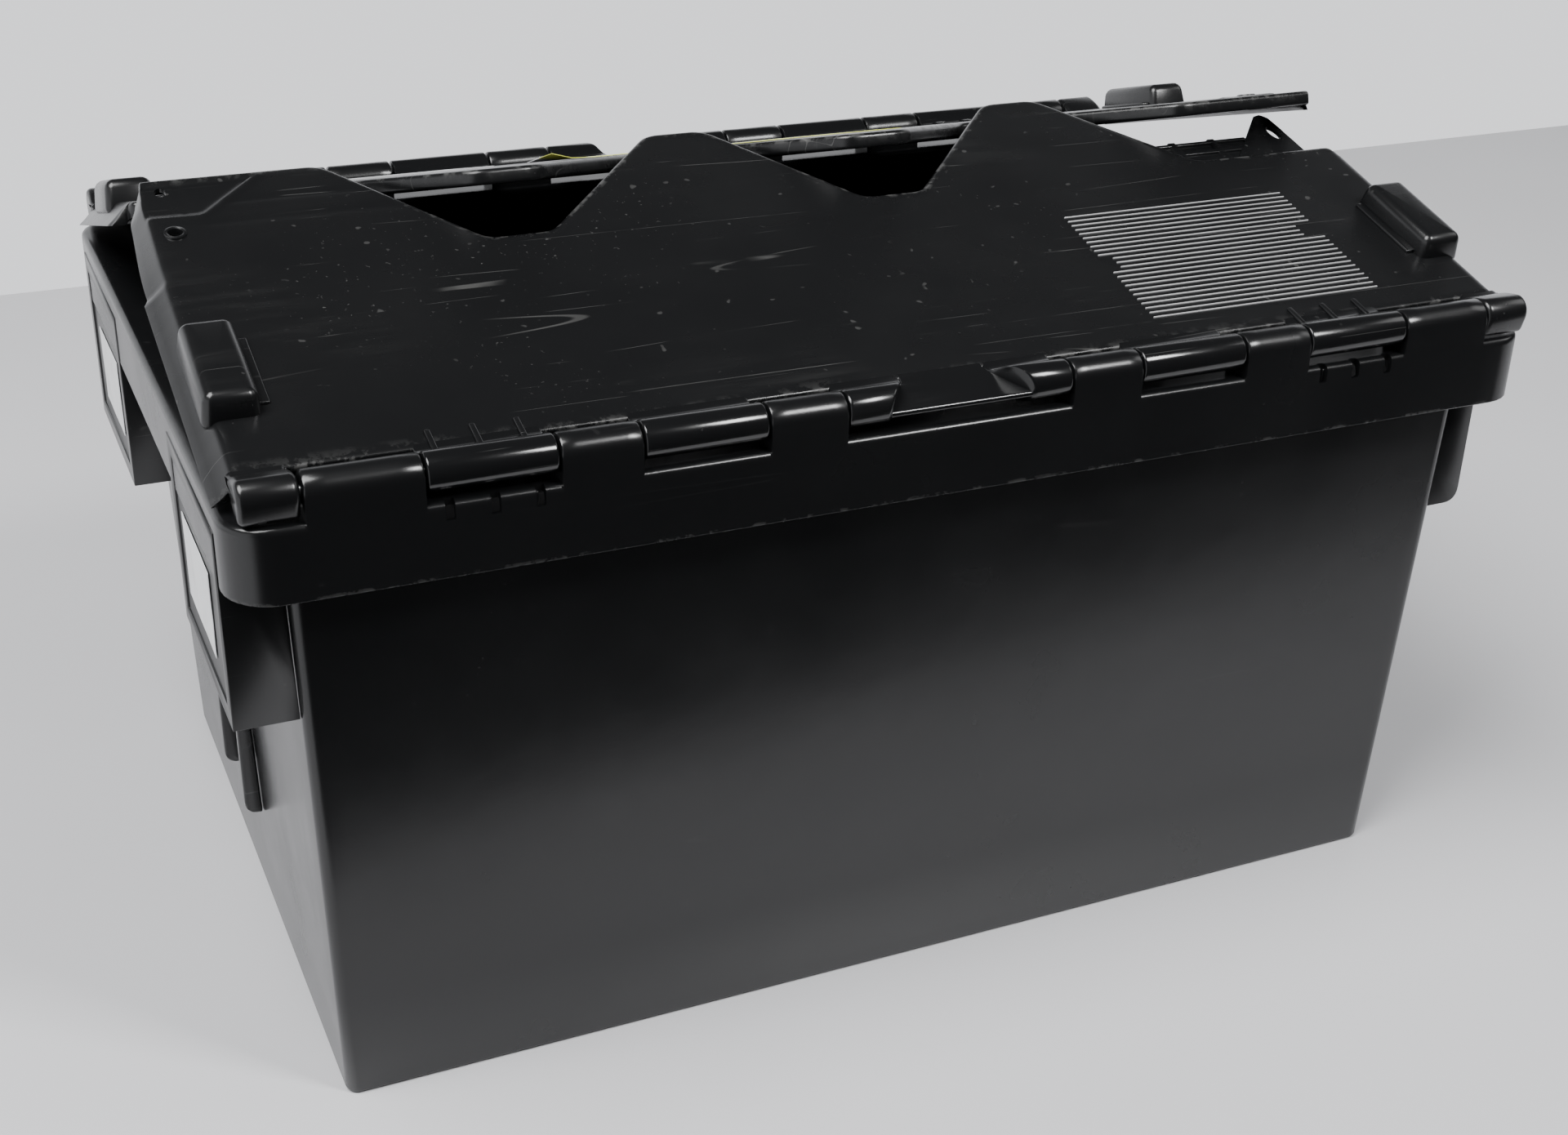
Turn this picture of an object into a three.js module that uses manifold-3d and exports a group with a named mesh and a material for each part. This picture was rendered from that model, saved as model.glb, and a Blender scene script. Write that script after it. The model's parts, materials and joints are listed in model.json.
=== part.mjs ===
// Attached lid tote: a tapered plastic container whose two half lids hang on steel rods along the
// long rims and close with interlocking teeth. Millimetres, +Z up, +X along the long side.
// Origin: centre of the base. Both lids are drawn ajar, the front one at -Y and the back one at +Y.
import * as THREE from "three";
import { mergeVertices } from "three/addons/utils/BufferGeometryUtils.js";
import Module from "manifold-3d";

const wasm = await Module();
wasm.setup();

// ---------------------------------------------------------------- driving dimensions
const LENGTH = 612; // over the rim, along X
const WIDTH = 400; // over the rim, along Y
const WALL = 3; // tub wall
const FLOOR = 3.5; // tub floor
const BASE_INSET_X = 32.5; // rim edge to base edge, at each end
const BASE_INSET_Y = 23; // rim edge to base edge, at each side
const RIM_INSET_X = 25; // rim edge to tub wall at the rim's lower edge, at each end
const RIM_INSET_Y = 17; // the same at each side
const TUB_CORNER_R = 6; // outside corner of the tub in plan
const RIM_CORNER_R = 20; // outside corner of the rim in plan
const RIM_TOP = 290; // flat top of the rim, under the lids
const RIM_BAND = 32; // height of the rim band
const RIM_SKIN = 2.5; // rim band and rim top plate
const RIM_RIB_PITCH = 62; // stiffening ribs inside the rim channel
const RIM_RIB = 2;
const RIM_RIB_RISE = 6; // rib foot above the band's lower edge
const RIM_CORNER_CUT = 5; // tub side wall to the seam between side rim and end rim
const NOTCH_COUNT = 3; // drain notches in the band under each outer lid barrel
const NOTCH_WIDTH = 4;
const NOTCH_DEPTH = 8;
const JOIN_GAP = 0.3; // between touching pieces of the container moulding

const HINGE_R = 8; // outside radius of every hinge knuckle
const HINGE_RISE = 10.6; // hinge axis above the rim top
const ROD_R = 2; // steel hinge rod
const ROD_CLEARANCE = 0.45; // hole radius over rod radius
const ROD_END_INSET = 20; // outer rod end to rim end
const ROD_NOTCH_INSET = 3; // inner rod end to the thumb notch
const KNUCKLE_GAP = 1; // side gap between rim knuckle and lid barrel
const CAP_WIDTH = 24; // lid corner cap over the rim corner, along X
const CAP_INSET = 6; // outer end of the cap to the rim end
const CAP_FOOT = 2.3; // cap's lower edge above the rim top
const CAP_EDGE_R = 3; // rounding of the cap's lower edge
const CAP_SKIN = 3;
const CAP_REAR = 13; // hinge axis to the cap's rear edge on the panel
// Widths of the hinge segments from X = 0 outwards, lid first and rim next in turn. They are
// relative widths: together they fill the length between the corner caps.
const HINGE_SEGMENTS = [53.4, 34.1, 54.7, 33.6, 54, 45.7];
const CENTRE_NOTCH = 20; // half width of the thumb notch in the middle lid barrel
const NOTCH_SLANT = 14; // how far the notch widens towards the front

const BARREL_ARM_ANGLE = 0.5; // where the arm leaves the top of a lid barrel, radians
const LID_THICK = 3; // lid panel
const LID_LIP = 4; // stiffening lip under the free edge
const LIP_SKIN = 2.6;
const LID_END_INSET = 9; // panel end to rim end; the end skirts flare out over it
const SKIRT_SKIN = 3;
const SKIRT_END_INSET = 6; // end skirt to the panel's free edge
const LID_START = 14.5; // hinge axis to the panel, beside the rim knuckles
const SKIRT_GAP = 0.7; // closed lid's end skirt above the rim top
const TOOTH_REACH = 36; // zigzag parting line, half its swing either side of Y = 0
const PARTING_GAP = 5; // between the closed lids, along Y
const TIP_R = 15; // rounding of the tooth tips
const ROOT_R = 11; // rounding of the valleys
// Corners of the zigzag parting line outwards from X = 0, as shares of the lid's half length.
const ZIGZAG = [0.0926, 0.1936, 0.4276, 0.527, 0.7205];
const LEDGE_REACH = 7.5; // underlap ledge past each valley
const LEDGE_THICK = 2.4;
const LEDGE_INSET = 3; // ledge end to the valley's corner
const SEAL_HOLE_R = 3.5; // holes for a seal in the wide tooth of each lid
const SEAL_HOLE_SIDE = 11; // hole centre to the lid end
const SEAL_HOLES = [11, 45]; // hole centres to the tooth tip
const BUMP_LENGTH = 56; // stacking block on the lid
const BUMP_WIDTH = 20;
const BUMP_DRAFT = 2;
const BUMP_FLANGE = 4; // thin flange on the block's inner side
const BUMP_FLANGE_HEIGHT = 1.2;
const BUMP_FLANGE_END = 6; // flange end to block end
const BUMP_HEIGHT = 11;
const BUMP_START = 47; // hinge axis to the block
const FRONT_OPEN_DEG = 15; // how far the lids stand ajar
const BACK_OPEN_DEG = 16.5;

const GRIP_WIDTH = 144; // hand grip between the two label housings of an end
const HOUSING_SIDE_INSET = 24; // rim side to the housing's outer side wall
const HOUSING_HEIGHT = 64; // below the rim band
const HOUSING_TOP_INSET = 9; // rim top to the top of the housing, which stands in the band
const HOUSING_SKIN = 2.5;
const RECESS_BORDER = 8; // frame around the label recess
const RECESS_DEPTH = 1;
const RIGHT_INSET = 7; // rim end to the outer skin of the plain housings on the right end
const RIGHT_FOOT_R = 8; // rounding of their foot

const FIN_THICK = 5; // stacking fin on the end wall, between the housings
const FIN_OFFSET = 25; // mid-plane to the middle of each fin
const FIN_DROP = 2; // rim band to the fin's top
const FIN_LENGTH = 198;
const FIN_FOOT_R = 7; // rounding of the fin's foot
const FIN_FOOT_REACH = 8.5; // fin edge past the end wall, at the foot
const FIN_TOP_REACH = 3.5; // and at the top

const LABEL_THICK = 0.5;
const LABEL_WIDTH = 58; // end labels, along Y
const LABEL_HEIGHT = 38;
const LABEL_RISE = 19; // label's lower edge above the housing's
const LABEL_OFFSET = 4; // label nearer to the grip than the housing's middle
const LID_LABEL_START = 102; // hinge axis to the lid's label
const LID_LABEL_LENGTH = 175;
const LID_LABEL_DEPTH = 44;

const ROUND_SIDES = 16; // flats round a rod or a hole
const OVERCUT = 1; // how far a cutting solid runs past the face it cuts

// ---------------------------------------------------------------- derived sizes
const halfL = LENGTH / 2;
const halfW = WIDTH / 2;
const axisY = halfW - HINGE_R;
const axisZ = RIM_TOP + HINGE_RISE;
const rodHoleR = ROD_R + ROD_CLEARANCE;
const tipReach = axisY + TOOTH_REACH - PARTING_GAP / 2;
const rootReach = axisY - TOOTH_REACH - PARTING_GAP / 2;
const lidHalf = halfL - LID_END_INSET;
const skirtDrop = HINGE_RISE - SKIRT_GAP;
const notchEnd = LID_START - (LID_START - HINGE_R) / 3;
const skirtStart = HINGE_R * Math.SQRT1_2;
const rimBottom = RIM_TOP - RIM_BAND;
const housingInner = GRIP_WIDTH / 2;
const housingOuter = halfW - HOUSING_SIDE_INSET;
const housingBottom = rimBottom - HOUSING_HEIGHT;
const housingTop = RIM_TOP - HOUSING_TOP_INSET;
const capEnd = halfL - CAP_INSET;
const housingMiddle = (housingInner + housingOuter) / 2;
const slopeX = (BASE_INSET_X - RIM_INSET_X) / rimBottom;
const slopeY = (BASE_INSET_Y - RIM_INSET_Y) / rimBottom;
const wallX = (z) => halfL - BASE_INSET_X + slopeX * z;
const wallY = (z) => halfW - BASE_INSET_Y + slopeY * z;

// ---------------------------------------------------------------- solids
/** Turns a closed three.js geometry into a manifold solid. */
function solid(geometry) {
  const plain = geometry.index ? geometry.toNonIndexed() : geometry.clone();
  plain.deleteAttribute("normal");
  plain.deleteAttribute("uv");
  const merged = mergeVertices(plain, 1e-4);
  return new wasm.Manifold(new wasm.Mesh({
    numProp: 3,
    vertProperties: new Float32Array(merged.attributes.position.array),
    triVerts: new Uint32Array(merged.index.array),
  }));
}

/** Box between two corners. */
function block([x0, y0, z0], [x1, y1, z1]) {
  const geometry = new THREE.BoxGeometry(x1 - x0, y1 - y0, z1 - z0);
  return solid(geometry.translate((x0 + x1) / 2, (y0 + y1) / 2, (z0 + z1) / 2));
}

/** Upright prism over an outline in X and Y. */
function prism(shape, z0, z1, curveSegments = 5) {
  const options = { depth: z1 - z0, bevelEnabled: false, curveSegments };
  return solid(new THREE.ExtrudeGeometry(shape, options).translate(0, 0, z0));
}

/** Bar along X from x0 to x1 over a section drawn in Y and Z. */
function bar(section, x0, x1, curveSegments = 8) {
  const options = { depth: x1 - x0, bevelEnabled: false, curveSegments };
  const geometry = new THREE.ExtrudeGeometry(section, options);
  const turn = new THREE.Matrix4().makeBasis(
    new THREE.Vector3(0, 1, 0), new THREE.Vector3(0, 0, 1), new THREE.Vector3(1, 0, 0));
  return solid(geometry.applyMatrix4(turn).translate(x0, 0, 0));
}

/** Round bar along X on the line at y and z. */
function roundBar(radius, x0, x1, y, z) {
  const geometry = new THREE.CylinderGeometry(radius, radius, x1 - x0, ROUND_SIDES).rotateZ(Math.PI / 2);
  return solid(geometry.translate((x0 + x1) / 2, y, z));
}

function polygon(points) {
  return new THREE.Shape(points.map(([x, y]) => new THREE.Vector2(x, y)));
}

/** Closed outline whose corners are rounded; each point is [x, y, radius]. */
function roundedOutline(points) {
  const shape = new THREE.Shape();
  points.forEach(([x, y, radius], i) => {
    const corner = new THREE.Vector2(x, y);
    const before = new THREE.Vector2(...points.at(i - 1)).sub(corner);
    const after = new THREE.Vector2(...points[(i + 1) % points.length]).sub(corner);
    const half = before.angleTo(after) / 2;
    const cut = radius / Math.tan(half);
    const start = before.setLength(cut).add(corner);
    const end = after.setLength(cut).add(corner);
    if (i === 0) shape.moveTo(start.x, start.y);
    else shape.lineTo(start.x, start.y);
    if (radius > 0) shape.quadraticCurveTo(corner.x, corner.y, end.x, end.y);
  });
  shape.closePath();
  return shape;
}

function roundedRectangle(halfX, halfY, radius) {
  return roundedOutline([[-halfX, -halfY, radius], [halfX, -halfY, radius],
    [halfX, halfY, radius], [-halfX, halfY, radius]]);
}

/** Prism whose sides follow the tub's taper, offset outwards from its outer face. */
function taperedPrism(offset, radius, z0, z1) {
  const shape = roundedRectangle(wallX(0) + offset, wallY(0) + offset, radius);
  const options = { depth: z1 - z0, bevelEnabled: false, curveSegments: 5 };
  const geometry = new THREE.ExtrudeGeometry(shape, options);
  const position = geometry.translate(0, 0, z0).attributes.position;
  for (let i = 0; i < position.count; i++) {
    const z = position.getZ(i);
    position.setX(i, position.getX(i) + Math.sign(position.getX(i)) * slopeX * z);
    position.setY(i, position.getY(i) + Math.sign(position.getY(i)) * slopeY * z);
  }
  return solid(geometry);
}

const union = (solids) => solids.reduce((sum, next) => sum.add(next));
const turnedHalfway = (piece) => piece.rotate([0, 0, 180]);

// ---------------------------------------------------------------- hinge line, shared by rim and lids
/** Outer ends of the hinge segments from X = 0 outwards. */
function hingeSteps() {
  const fill = (capEnd - CAP_WIDTH - KNUCKLE_GAP) / HINGE_SEGMENTS.reduce((sum, width) => sum + width);
  let end = 0;
  return HINGE_SEGMENTS.map((width) => (end += width * fill));
}
const steps = hingeSteps();
const bothSides = (spans) => [...spans, ...spans.map(([x0, x1]) => [-x1, -x0])];

/** [x0, x1] of every rim knuckle along one long side. */
function rimKnuckleSpans() {
  return bothSides([[steps[0], steps[1]], [steps[2], steps[3]], [steps[4], steps[5]]]);
}

/** [x0, x1] of the lid barrels beside the middle one. */
function lidBarrelSpans() {
  const spans = [[steps[1], steps[2]], [steps[3], steps[4]]];
  return bothSides(spans.map(([x0, x1]) => [x0 + KNUCKLE_GAP, x1 - KNUCKLE_GAP]));
}

/** Both stretches of the rod hole, or of the rods when it is drawn in by an end clearance. */
function rodSpans(clearance) {
  const inner = CENTRE_NOTCH + NOTCH_SLANT + ROD_NOTCH_INSET + clearance;
  return bothSides([[inner, halfL - ROD_END_INSET - clearance]]);
}

function rodHoles(y, z) {
  return union(rodSpans(0).map(([x0, x1]) => roundBar(rodHoleR, x0, x1, y, z)));
}

// ---------------------------------------------------------------- container moulding
function makeTub() {
  const outside = taperedPrism(0, TUB_CORNER_R, 0, RIM_TOP);
  const inside = taperedPrism(-WALL, TUB_CORNER_R - WALL, FLOOR, RIM_TOP + OVERCUT);
  return outside.subtract(inside);
}

/** Room taken by the tub and the gap around it, for everything that joins its outside. */
function tubSpace() {
  return taperedPrism(JOIN_GAP, TUB_CORNER_R + JOIN_GAP, 0, RIM_TOP + OVERCUT);
}

/** Whole rim: a channel open downwards, with ribs, around the tub. */
function makeRimRing() {
  const outer = prism(roundedRectangle(halfL, halfW, RIM_CORNER_R), rimBottom, RIM_TOP);
  const innerShape = roundedRectangle(halfL - RIM_SKIN, halfW - RIM_SKIN, RIM_CORNER_R - RIM_SKIN);
  const channel = prism(innerShape, rimBottom - OVERCUT, RIM_TOP - RIM_SKIN);
  const ribs = [];
  const ribFoot = rimBottom + RIM_RIB_RISE;
  const ribPairs = Math.floor((halfL - RIM_CORNER_R) / RIM_RIB_PITCH);
  for (let i = -ribPairs; i <= ribPairs; i++) {
    const x = i * RIM_RIB_PITCH;
    ribs.push(block([x - RIM_RIB / 2, -halfW, ribFoot], [x + RIM_RIB / 2, halfW, RIM_TOP]));
  }
  for (const y of [-housingInner, housingInner]) {
    const middle = y - Math.sign(y) * RIM_RIB;
    ribs.push(block([-halfL, middle - RIM_RIB / 2, ribFoot], [halfL, middle + RIM_RIB / 2, RIM_TOP]));
  }
  return outer.subtract(tubSpace()).subtract(channel.subtract(union(ribs)));
}

/** Knuckles of the front rim: round over the hinge axis, flush with the band below it. */
function makeRimKnuckles() {
  const root = RIM_TOP - RIM_SKIN / 2;
  const section = new THREE.Shape();
  section.moveTo(-halfW, root);
  section.lineTo(-halfW, axisZ);
  section.absarc(-axisY, axisZ, HINGE_R, Math.PI, 0, true);
  section.lineTo(-axisY + HINGE_R, root);
  section.closePath();
  const bars = rimKnuckleSpans().map(([x0, x1]) => bar(section, x0, x1));
  return union(bars).subtract(rodHoles(-axisY, axisZ));
}

/** Three drain notches in the band under each outer lid barrel. */
function makeRimNotches() {
  const cuts = [];
  const pitch = (steps[4] - steps[3]) / NOTCH_COUNT;
  const half = NOTCH_WIDTH / 2;
  for (const side of [-1, 1]) {
    for (let i = 0; i < NOTCH_COUNT; i++) {
      const x = side * (steps[3] + pitch * (i + 0.5));
      const low = [x - half, -halfW - OVERCUT, RIM_TOP - NOTCH_DEPTH];
      cuts.push(block(low, [x + half, -halfW + RIM_SKIN + OVERCUT, RIM_TOP + OVERCUT]));
    }
  }
  return union(cuts);
}

function makeSideRim(ring) {
  const cutY = wallY(rimBottom) - RIM_CORNER_CUT;
  const side = ring.intersect(block([-LENGTH, -WIDTH, 0], [LENGTH, -cutY, RIM_TOP + OVERCUT]));
  return side.subtract(makeRimNotches()).add(makeRimKnuckles());
}

function makeEndRim(ring) {
  const cutY = wallY(rimBottom) - RIM_CORNER_CUT - JOIN_GAP;
  return ring.intersect(block([-LENGTH, -cutY, 0], [0, cutY, RIM_TOP + OVERCUT]));
}

/** End of the rim with room for the label housings, which stand in it. */
function makeLabelRim(end) {
  const room = block([-LENGTH, -housingOuter - JOIN_GAP, 0],
    [0, -housingInner + JOIN_GAP, housingTop + JOIN_GAP]);
  return end.subtract(room).subtract(room.mirror([0, 1, 0]));
}

/** Label housing on the left end, at negative Y: an outer skin and two side walls. */
function makeHousing() {
  const top = housingTop;
  const box = block([-halfL, -housingOuter, housingBottom], [0, -housingInner, top]);
  const hollow = block([-halfL + HOUSING_SKIN, -housingOuter + HOUSING_SKIN, housingBottom - OVERCUT],
    [0, -housingInner - HOUSING_SKIN, top + OVERCUT]);
  const low = [-halfL - OVERCUT, -housingOuter + RECESS_BORDER, housingBottom + RECESS_BORDER];
  const recess = block(low, [-halfL + RECESS_DEPTH, -housingInner - RECESS_BORDER, top - RECESS_BORDER]);
  return box.subtract(hollow).subtract(recess).subtract(tubSpace());
}

/** Plain housing below the rim, at negative X and Y: thinner than a label housing, with a rounded foot. */
function makePlainHousing() {
  const reach = -halfL + RIGHT_INSET;
  const top = rimBottom - JOIN_GAP;
  const section = roundedOutline([[reach, top, 0], [reach, housingBottom, RIGHT_FOOT_R],
    [0, housingBottom, 0], [0, top, 0]]);
  const options = { depth: housingOuter - housingInner, bevelEnabled: false, curveSegments: 6 };
  const geometry = new THREE.ExtrudeGeometry(section, options);
  const box = solid(geometry.rotateX(Math.PI / 2).translate(0, -housingInner, 0));
  const hollow = block([reach + HOUSING_SKIN, -housingOuter + HOUSING_SKIN, housingBottom - OVERCUT],
    [0, -housingInner - HOUSING_SKIN, top + OVERCUT]);
  return box.subtract(hollow).subtract(tubSpace());
}

/** Stacking fin between the housings: a plate on the end wall, nearly upright, with a rounded foot. */
function makeFin() {
  const top = rimBottom - FIN_DROP;
  const foot = top - FIN_LENGTH;
  const section = roundedOutline([[0, top, 0], [-wallX(top) - FIN_TOP_REACH, top, 0],
    [-wallX(foot) - FIN_FOOT_REACH, foot, FIN_FOOT_R], [0, foot, 0]]);
  const options = { depth: FIN_THICK, bevelEnabled: false, curveSegments: 6 };
  const geometry = new THREE.ExtrudeGeometry(section, options);
  geometry.rotateX(Math.PI / 2).translate(0, -FIN_OFFSET + FIN_THICK / 2, 0);
  return solid(geometry).subtract(tubSpace());
}

// ---------------------------------------------------------------- lid moulding, closed, hinge axis on X
/** Corners of the lid's free edge as [x, reach, rounding], from -X to +X, drawn in by an inset. */
function zigzag(inset) {
  const outward = ZIGZAG.map((share) => share * lidHalf);
  const xs = [...outward.map((x) => -x).reverse(), ...outward];
  return xs.map((x, i) => {
    const falling = Math.floor(i / 2) % 2 === 0;
    const atTip = falling === (i % 2 === 0);
    const run = Math.abs(xs[i % 2 === 0 ? i + 1 : i - 1] - x);
    const shift = inset * Math.tan(Math.atan2(2 * TOOTH_REACH, run) / 2) * (falling ? -1 : 1);
    return [x + shift, (atTip ? tipReach : rootReach) - inset, atTip ? TIP_R : ROOT_R];
  });
}

/** Outline of the lid panel in X and distance from the hinge axis. */
function lidOutline(inset, start) {
  const half = lidHalf - inset;
  return roundedOutline([[-half, start, 0], [-half, tipReach - inset, 6], ...zigzag(inset),
    [half, rootReach - inset, 6], [half, start, 0]]);
}

function makeLidPanel() {
  const panel = prism(lidOutline(0, LID_START), -LID_THICK, 0, 4);
  const lipOuter = prism(lidOutline(0, LID_START), -LID_THICK - LID_LIP, -LID_THICK + 0.5, 4);
  const lipInner = prism(lidOutline(LIP_SKIN, 0), -LID_THICK - LID_LIP - 1, -LID_THICK, 4);
  return panel.add(lipOuter.subtract(lipInner));
}

/** End skirt, flared from the panel's end out to the rim's end. */
function makeEndSkirt(side) {
  const reach = side < 0 ? tipReach : rootReach;
  const section = polygon([[lidHalf - SKIRT_SKIN, 0], [lidHalf, 0], [halfL, -skirtDrop],
    [halfL - SKIRT_SKIN, -skirtDrop], [lidHalf - SKIRT_SKIN, -LID_THICK]]);
  const length = reach - SKIRT_END_INSET - skirtStart;
  const geometry = new THREE.ExtrudeGeometry(section, { depth: length, bevelEnabled: false });
  geometry.rotateX(Math.PI / 2).translate(0, reach - SKIRT_END_INSET, 0);
  const skirt = solid(geometry);
  return side < 0 ? skirt.mirror([1, 0, 0]) : skirt;
}

/** Section of the barrel and the arm that carries it, in distance and height. */
function armSection(reach) {
  const underArm = 2 * Math.PI - Math.asin(LID_THICK / HINGE_R);
  const section = new THREE.Shape();
  section.moveTo(reach, 0);
  section.lineTo(HINGE_R, 0);
  section.absarc(0, 0, HINGE_R, BARREL_ARM_ANGLE, underArm, false);
  section.lineTo(reach, -LID_THICK);
  section.closePath();
  return section;
}

function makeLidBarrels() {
  const section = armSection(LID_START + OVERCUT);
  const bars = lidBarrelSpans().map(([x0, x1]) => bar(section, x0, x1));
  const inner = steps[0] - KNUCKLE_GAP;
  const middle = bar(section, -inner, inner);
  const wide = CENTRE_NOTCH + NOTCH_SLANT;
  const front = -HINGE_R - OVERCUT;
  const outline = polygon([[-CENTRE_NOTCH, notchEnd], [-wide, front], [wide, front],
    [CENTRE_NOTCH, notchEnd]]);
  const over = prism(outline, 0, HINGE_R + OVERCUT);
  const under = prism(outline, front, -LID_THICK);
  return union([...bars, middle.subtract(over).subtract(under)]);
}

/** Corner cap: rounded over the hinge axis, closed down to just above the rim corner. */
function makeCap(side) {
  const foot = CAP_FOOT - HINGE_RISE;
  const rear = LID_START + OVERCUT;
  const section = new THREE.Shape();
  section.moveTo(rear, 0);
  section.lineTo(CAP_REAR, 0);
  section.quadraticCurveTo(HINGE_R, HINGE_R - CAP_SKIN, 0, HINGE_R);
  section.absarc(0, 0, HINGE_R, Math.PI / 2, Math.PI, false);
  section.lineTo(-HINGE_R, foot + CAP_EDGE_R);
  section.quadraticCurveTo(-HINGE_R, foot, -HINGE_R + CAP_EDGE_R, foot);
  section.lineTo(-HINGE_R + CAP_EDGE_R + CAP_SKIN, foot + CAP_SKIN);
  section.lineTo(-HINGE_R + CAP_EDGE_R + CAP_SKIN, -LID_THICK);
  section.lineTo(rear, -LID_THICK);
  section.closePath();
  const cap = bar(section, capEnd - CAP_WIDTH, capEnd);
  return side < 0 ? cap.mirror([1, 0, 0]) : cap;
}

/** Stacking block near each hinge end, with drafted sides and a thin flange on its inner side. */
function makeBump(side) {
  const x0 = lidHalf - BUMP_WIDTH;
  const y1 = BUMP_START + BUMP_LENGTH;
  const sunk = LID_THICK / 2;
  const geometry = new THREE.BoxGeometry(BUMP_WIDTH, BUMP_LENGTH, BUMP_HEIGHT + sunk);
  const position = geometry.attributes.position;
  for (let i = 0; i < position.count; i++) {
    if (position.getZ(i) < 0) continue;
    position.setX(i, position.getX(i) - Math.sign(position.getX(i)) * BUMP_DRAFT);
    position.setY(i, position.getY(i) - Math.sign(position.getY(i)) * BUMP_DRAFT);
  }
  geometry.translate((x0 + lidHalf) / 2, (BUMP_START + y1) / 2, (BUMP_HEIGHT - sunk) / 2);
  const flange = block([x0 - BUMP_FLANGE, BUMP_START + BUMP_FLANGE_END, -sunk],
    [x0 + BUMP_DRAFT, y1 - BUMP_FLANGE_END, BUMP_FLANGE_HEIGHT]);
  const bump = solid(geometry).add(flange);
  return side < 0 ? bump.mirror([1, 0, 0]) : bump;
}

/** Ledge that runs under the other lid's tooth tip at a valley, with its root behind the lip. */
function makeLedge(x0, x1) {
  const lipFoot = -LID_THICK - LID_LIP;
  const low = lipFoot - JOIN_GAP - LEDGE_THICK;
  const start = rootReach - LIP_SKIN;
  const plate = block([x0, start, low], [x1, rootReach + LEDGE_REACH, lipFoot - JOIN_GAP]);
  const root = block([x0, start, low], [x1, rootReach - JOIN_GAP, lipFoot + LID_LIP / 2]);
  return plate.add(root);
}

/** One lid: both lids are this moulding. */
function makeLid() {
  const [a, b, c, d, e] = ZIGZAG.map((share) => share * lidHalf);
  const parts = [makeLidPanel(), makeLidBarrels()];
  for (const side of [-1, 1]) parts.push(makeEndSkirt(side), makeCap(side), makeBump(side));
  parts.push(makeLedge(-d + LEDGE_INSET, -c - LEDGE_INSET), makeLedge(a + LEDGE_INSET, b - LEDGE_INSET));
  parts.push(makeLedge(e + LEDGE_INSET, lidHalf - SKIRT_SKIN - LEDGE_INSET));
  const geometry = new THREE.CylinderGeometry(SEAL_HOLE_R, SEAL_HOLE_R, LID_START, ROUND_SIDES);
  const hole = solid(geometry.rotateX(Math.PI / 2));
  const holes = SEAL_HOLES.map((inset) => hole.translate([SEAL_HOLE_SIDE - lidHalf, tipReach - inset, 0]));
  const plan = prism(roundedRectangle(halfL, WIDTH, RIM_CORNER_R), -WIDTH, WIDTH);
  const corners = plan.translate([0, WIDTH - HINGE_R, 0]);
  return union(parts).subtract(rodHoles(0, 0)).subtract(union(holes)).intersect(corners);
}

// ---------------------------------------------------------------- rods and labels
/** Paper label in the recess of a left housing. */
function makeEndLabel(y) {
  const x = -halfL + RECESS_DEPTH - JOIN_GAP / 3;
  const z = housingBottom + LABEL_RISE;
  return block([x - LABEL_THICK, y - LABEL_WIDTH / 2, z], [x, y + LABEL_WIDTH / 2, z + LABEL_HEIGHT]);
}

// ---------------------------------------------------------------- scene graph
const black = (roughness) => new THREE.MeshStandardMaterial({ color: 0x0b0c0d, roughness, metalness: 0 });
const steel = () => new THREE.MeshStandardMaterial({ color: 0xa9adb0, roughness: 0.35, metalness: 1 });
const paper = () => new THREE.MeshStandardMaterial({ color: 0xe9e9e4, roughness: 0.8, metalness: 0 });

function addMesh(group, name, piece, material) {
  const data = piece.getMesh();
  const geometry = new THREE.BufferGeometry();
  geometry.setAttribute("position", new THREE.BufferAttribute(data.vertProperties.slice(), 3));
  geometry.setIndex(new THREE.BufferAttribute(data.triVerts.slice(), 1));
  geometry.computeVertexNormals();
  const mesh = new THREE.Mesh(geometry, material);
  mesh.name = name;
  group.add(mesh);
  return mesh;
}

const tote = new THREE.Group();
tote.name = "attached_lid_tote";

const ring = makeRimRing();
const frontRim = makeSideRim(ring);
const endRim = makeEndRim(ring);
addMesh(tote, "tub_shell", makeTub(), black(0.45));
addMesh(tote, "rim_front", frontRim, black(0.3));
addMesh(tote, "rim_back", turnedHalfway(frontRim), black(0.3));
addMesh(tote, "rim_left", makeLabelRim(endRim), black(0.3));
addMesh(tote, "rim_right", turnedHalfway(endRim), black(0.3));

const labelHousing = makeHousing();
const plainHousing = makePlainHousing();
const fin = makeFin();
const corners = [["left_front", 1, false], ["left_back", -1, false],
  ["right_back", 1, true], ["right_front", -1, true]];
for (const [where, flip, turned] of corners) {
  const place = (piece) => {
    const mirrored = flip < 0 ? piece.mirror([0, 1, 0]) : piece;
    return turned ? turnedHalfway(mirrored) : mirrored;
  };
  addMesh(tote, `label_housing_${where}`, place(turned ? plainHousing : labelHousing), black(0.35));
  addMesh(tote, `stacking_fin_${where}`, place(fin), black(0.4));
}

const labelY = housingMiddle - LABEL_OFFSET;
addMesh(tote, "end_label_front", makeEndLabel(-labelY), paper());
addMesh(tote, "end_label_back", makeEndLabel(labelY), paper());
const rodPlaces = [["front", -axisY], ["back", axisY]];
for (const [side, y] of rodPlaces) {
  rodSpans(ROD_CLEARANCE).forEach(([x0, x1], i) => {
    const rod = roundBar(ROD_R, x0, x1, y, axisZ);
    addMesh(tote, `hinge_rod_${side}_${i === 0 ? "right" : "left"}`, rod, steel());
  });
}

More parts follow.
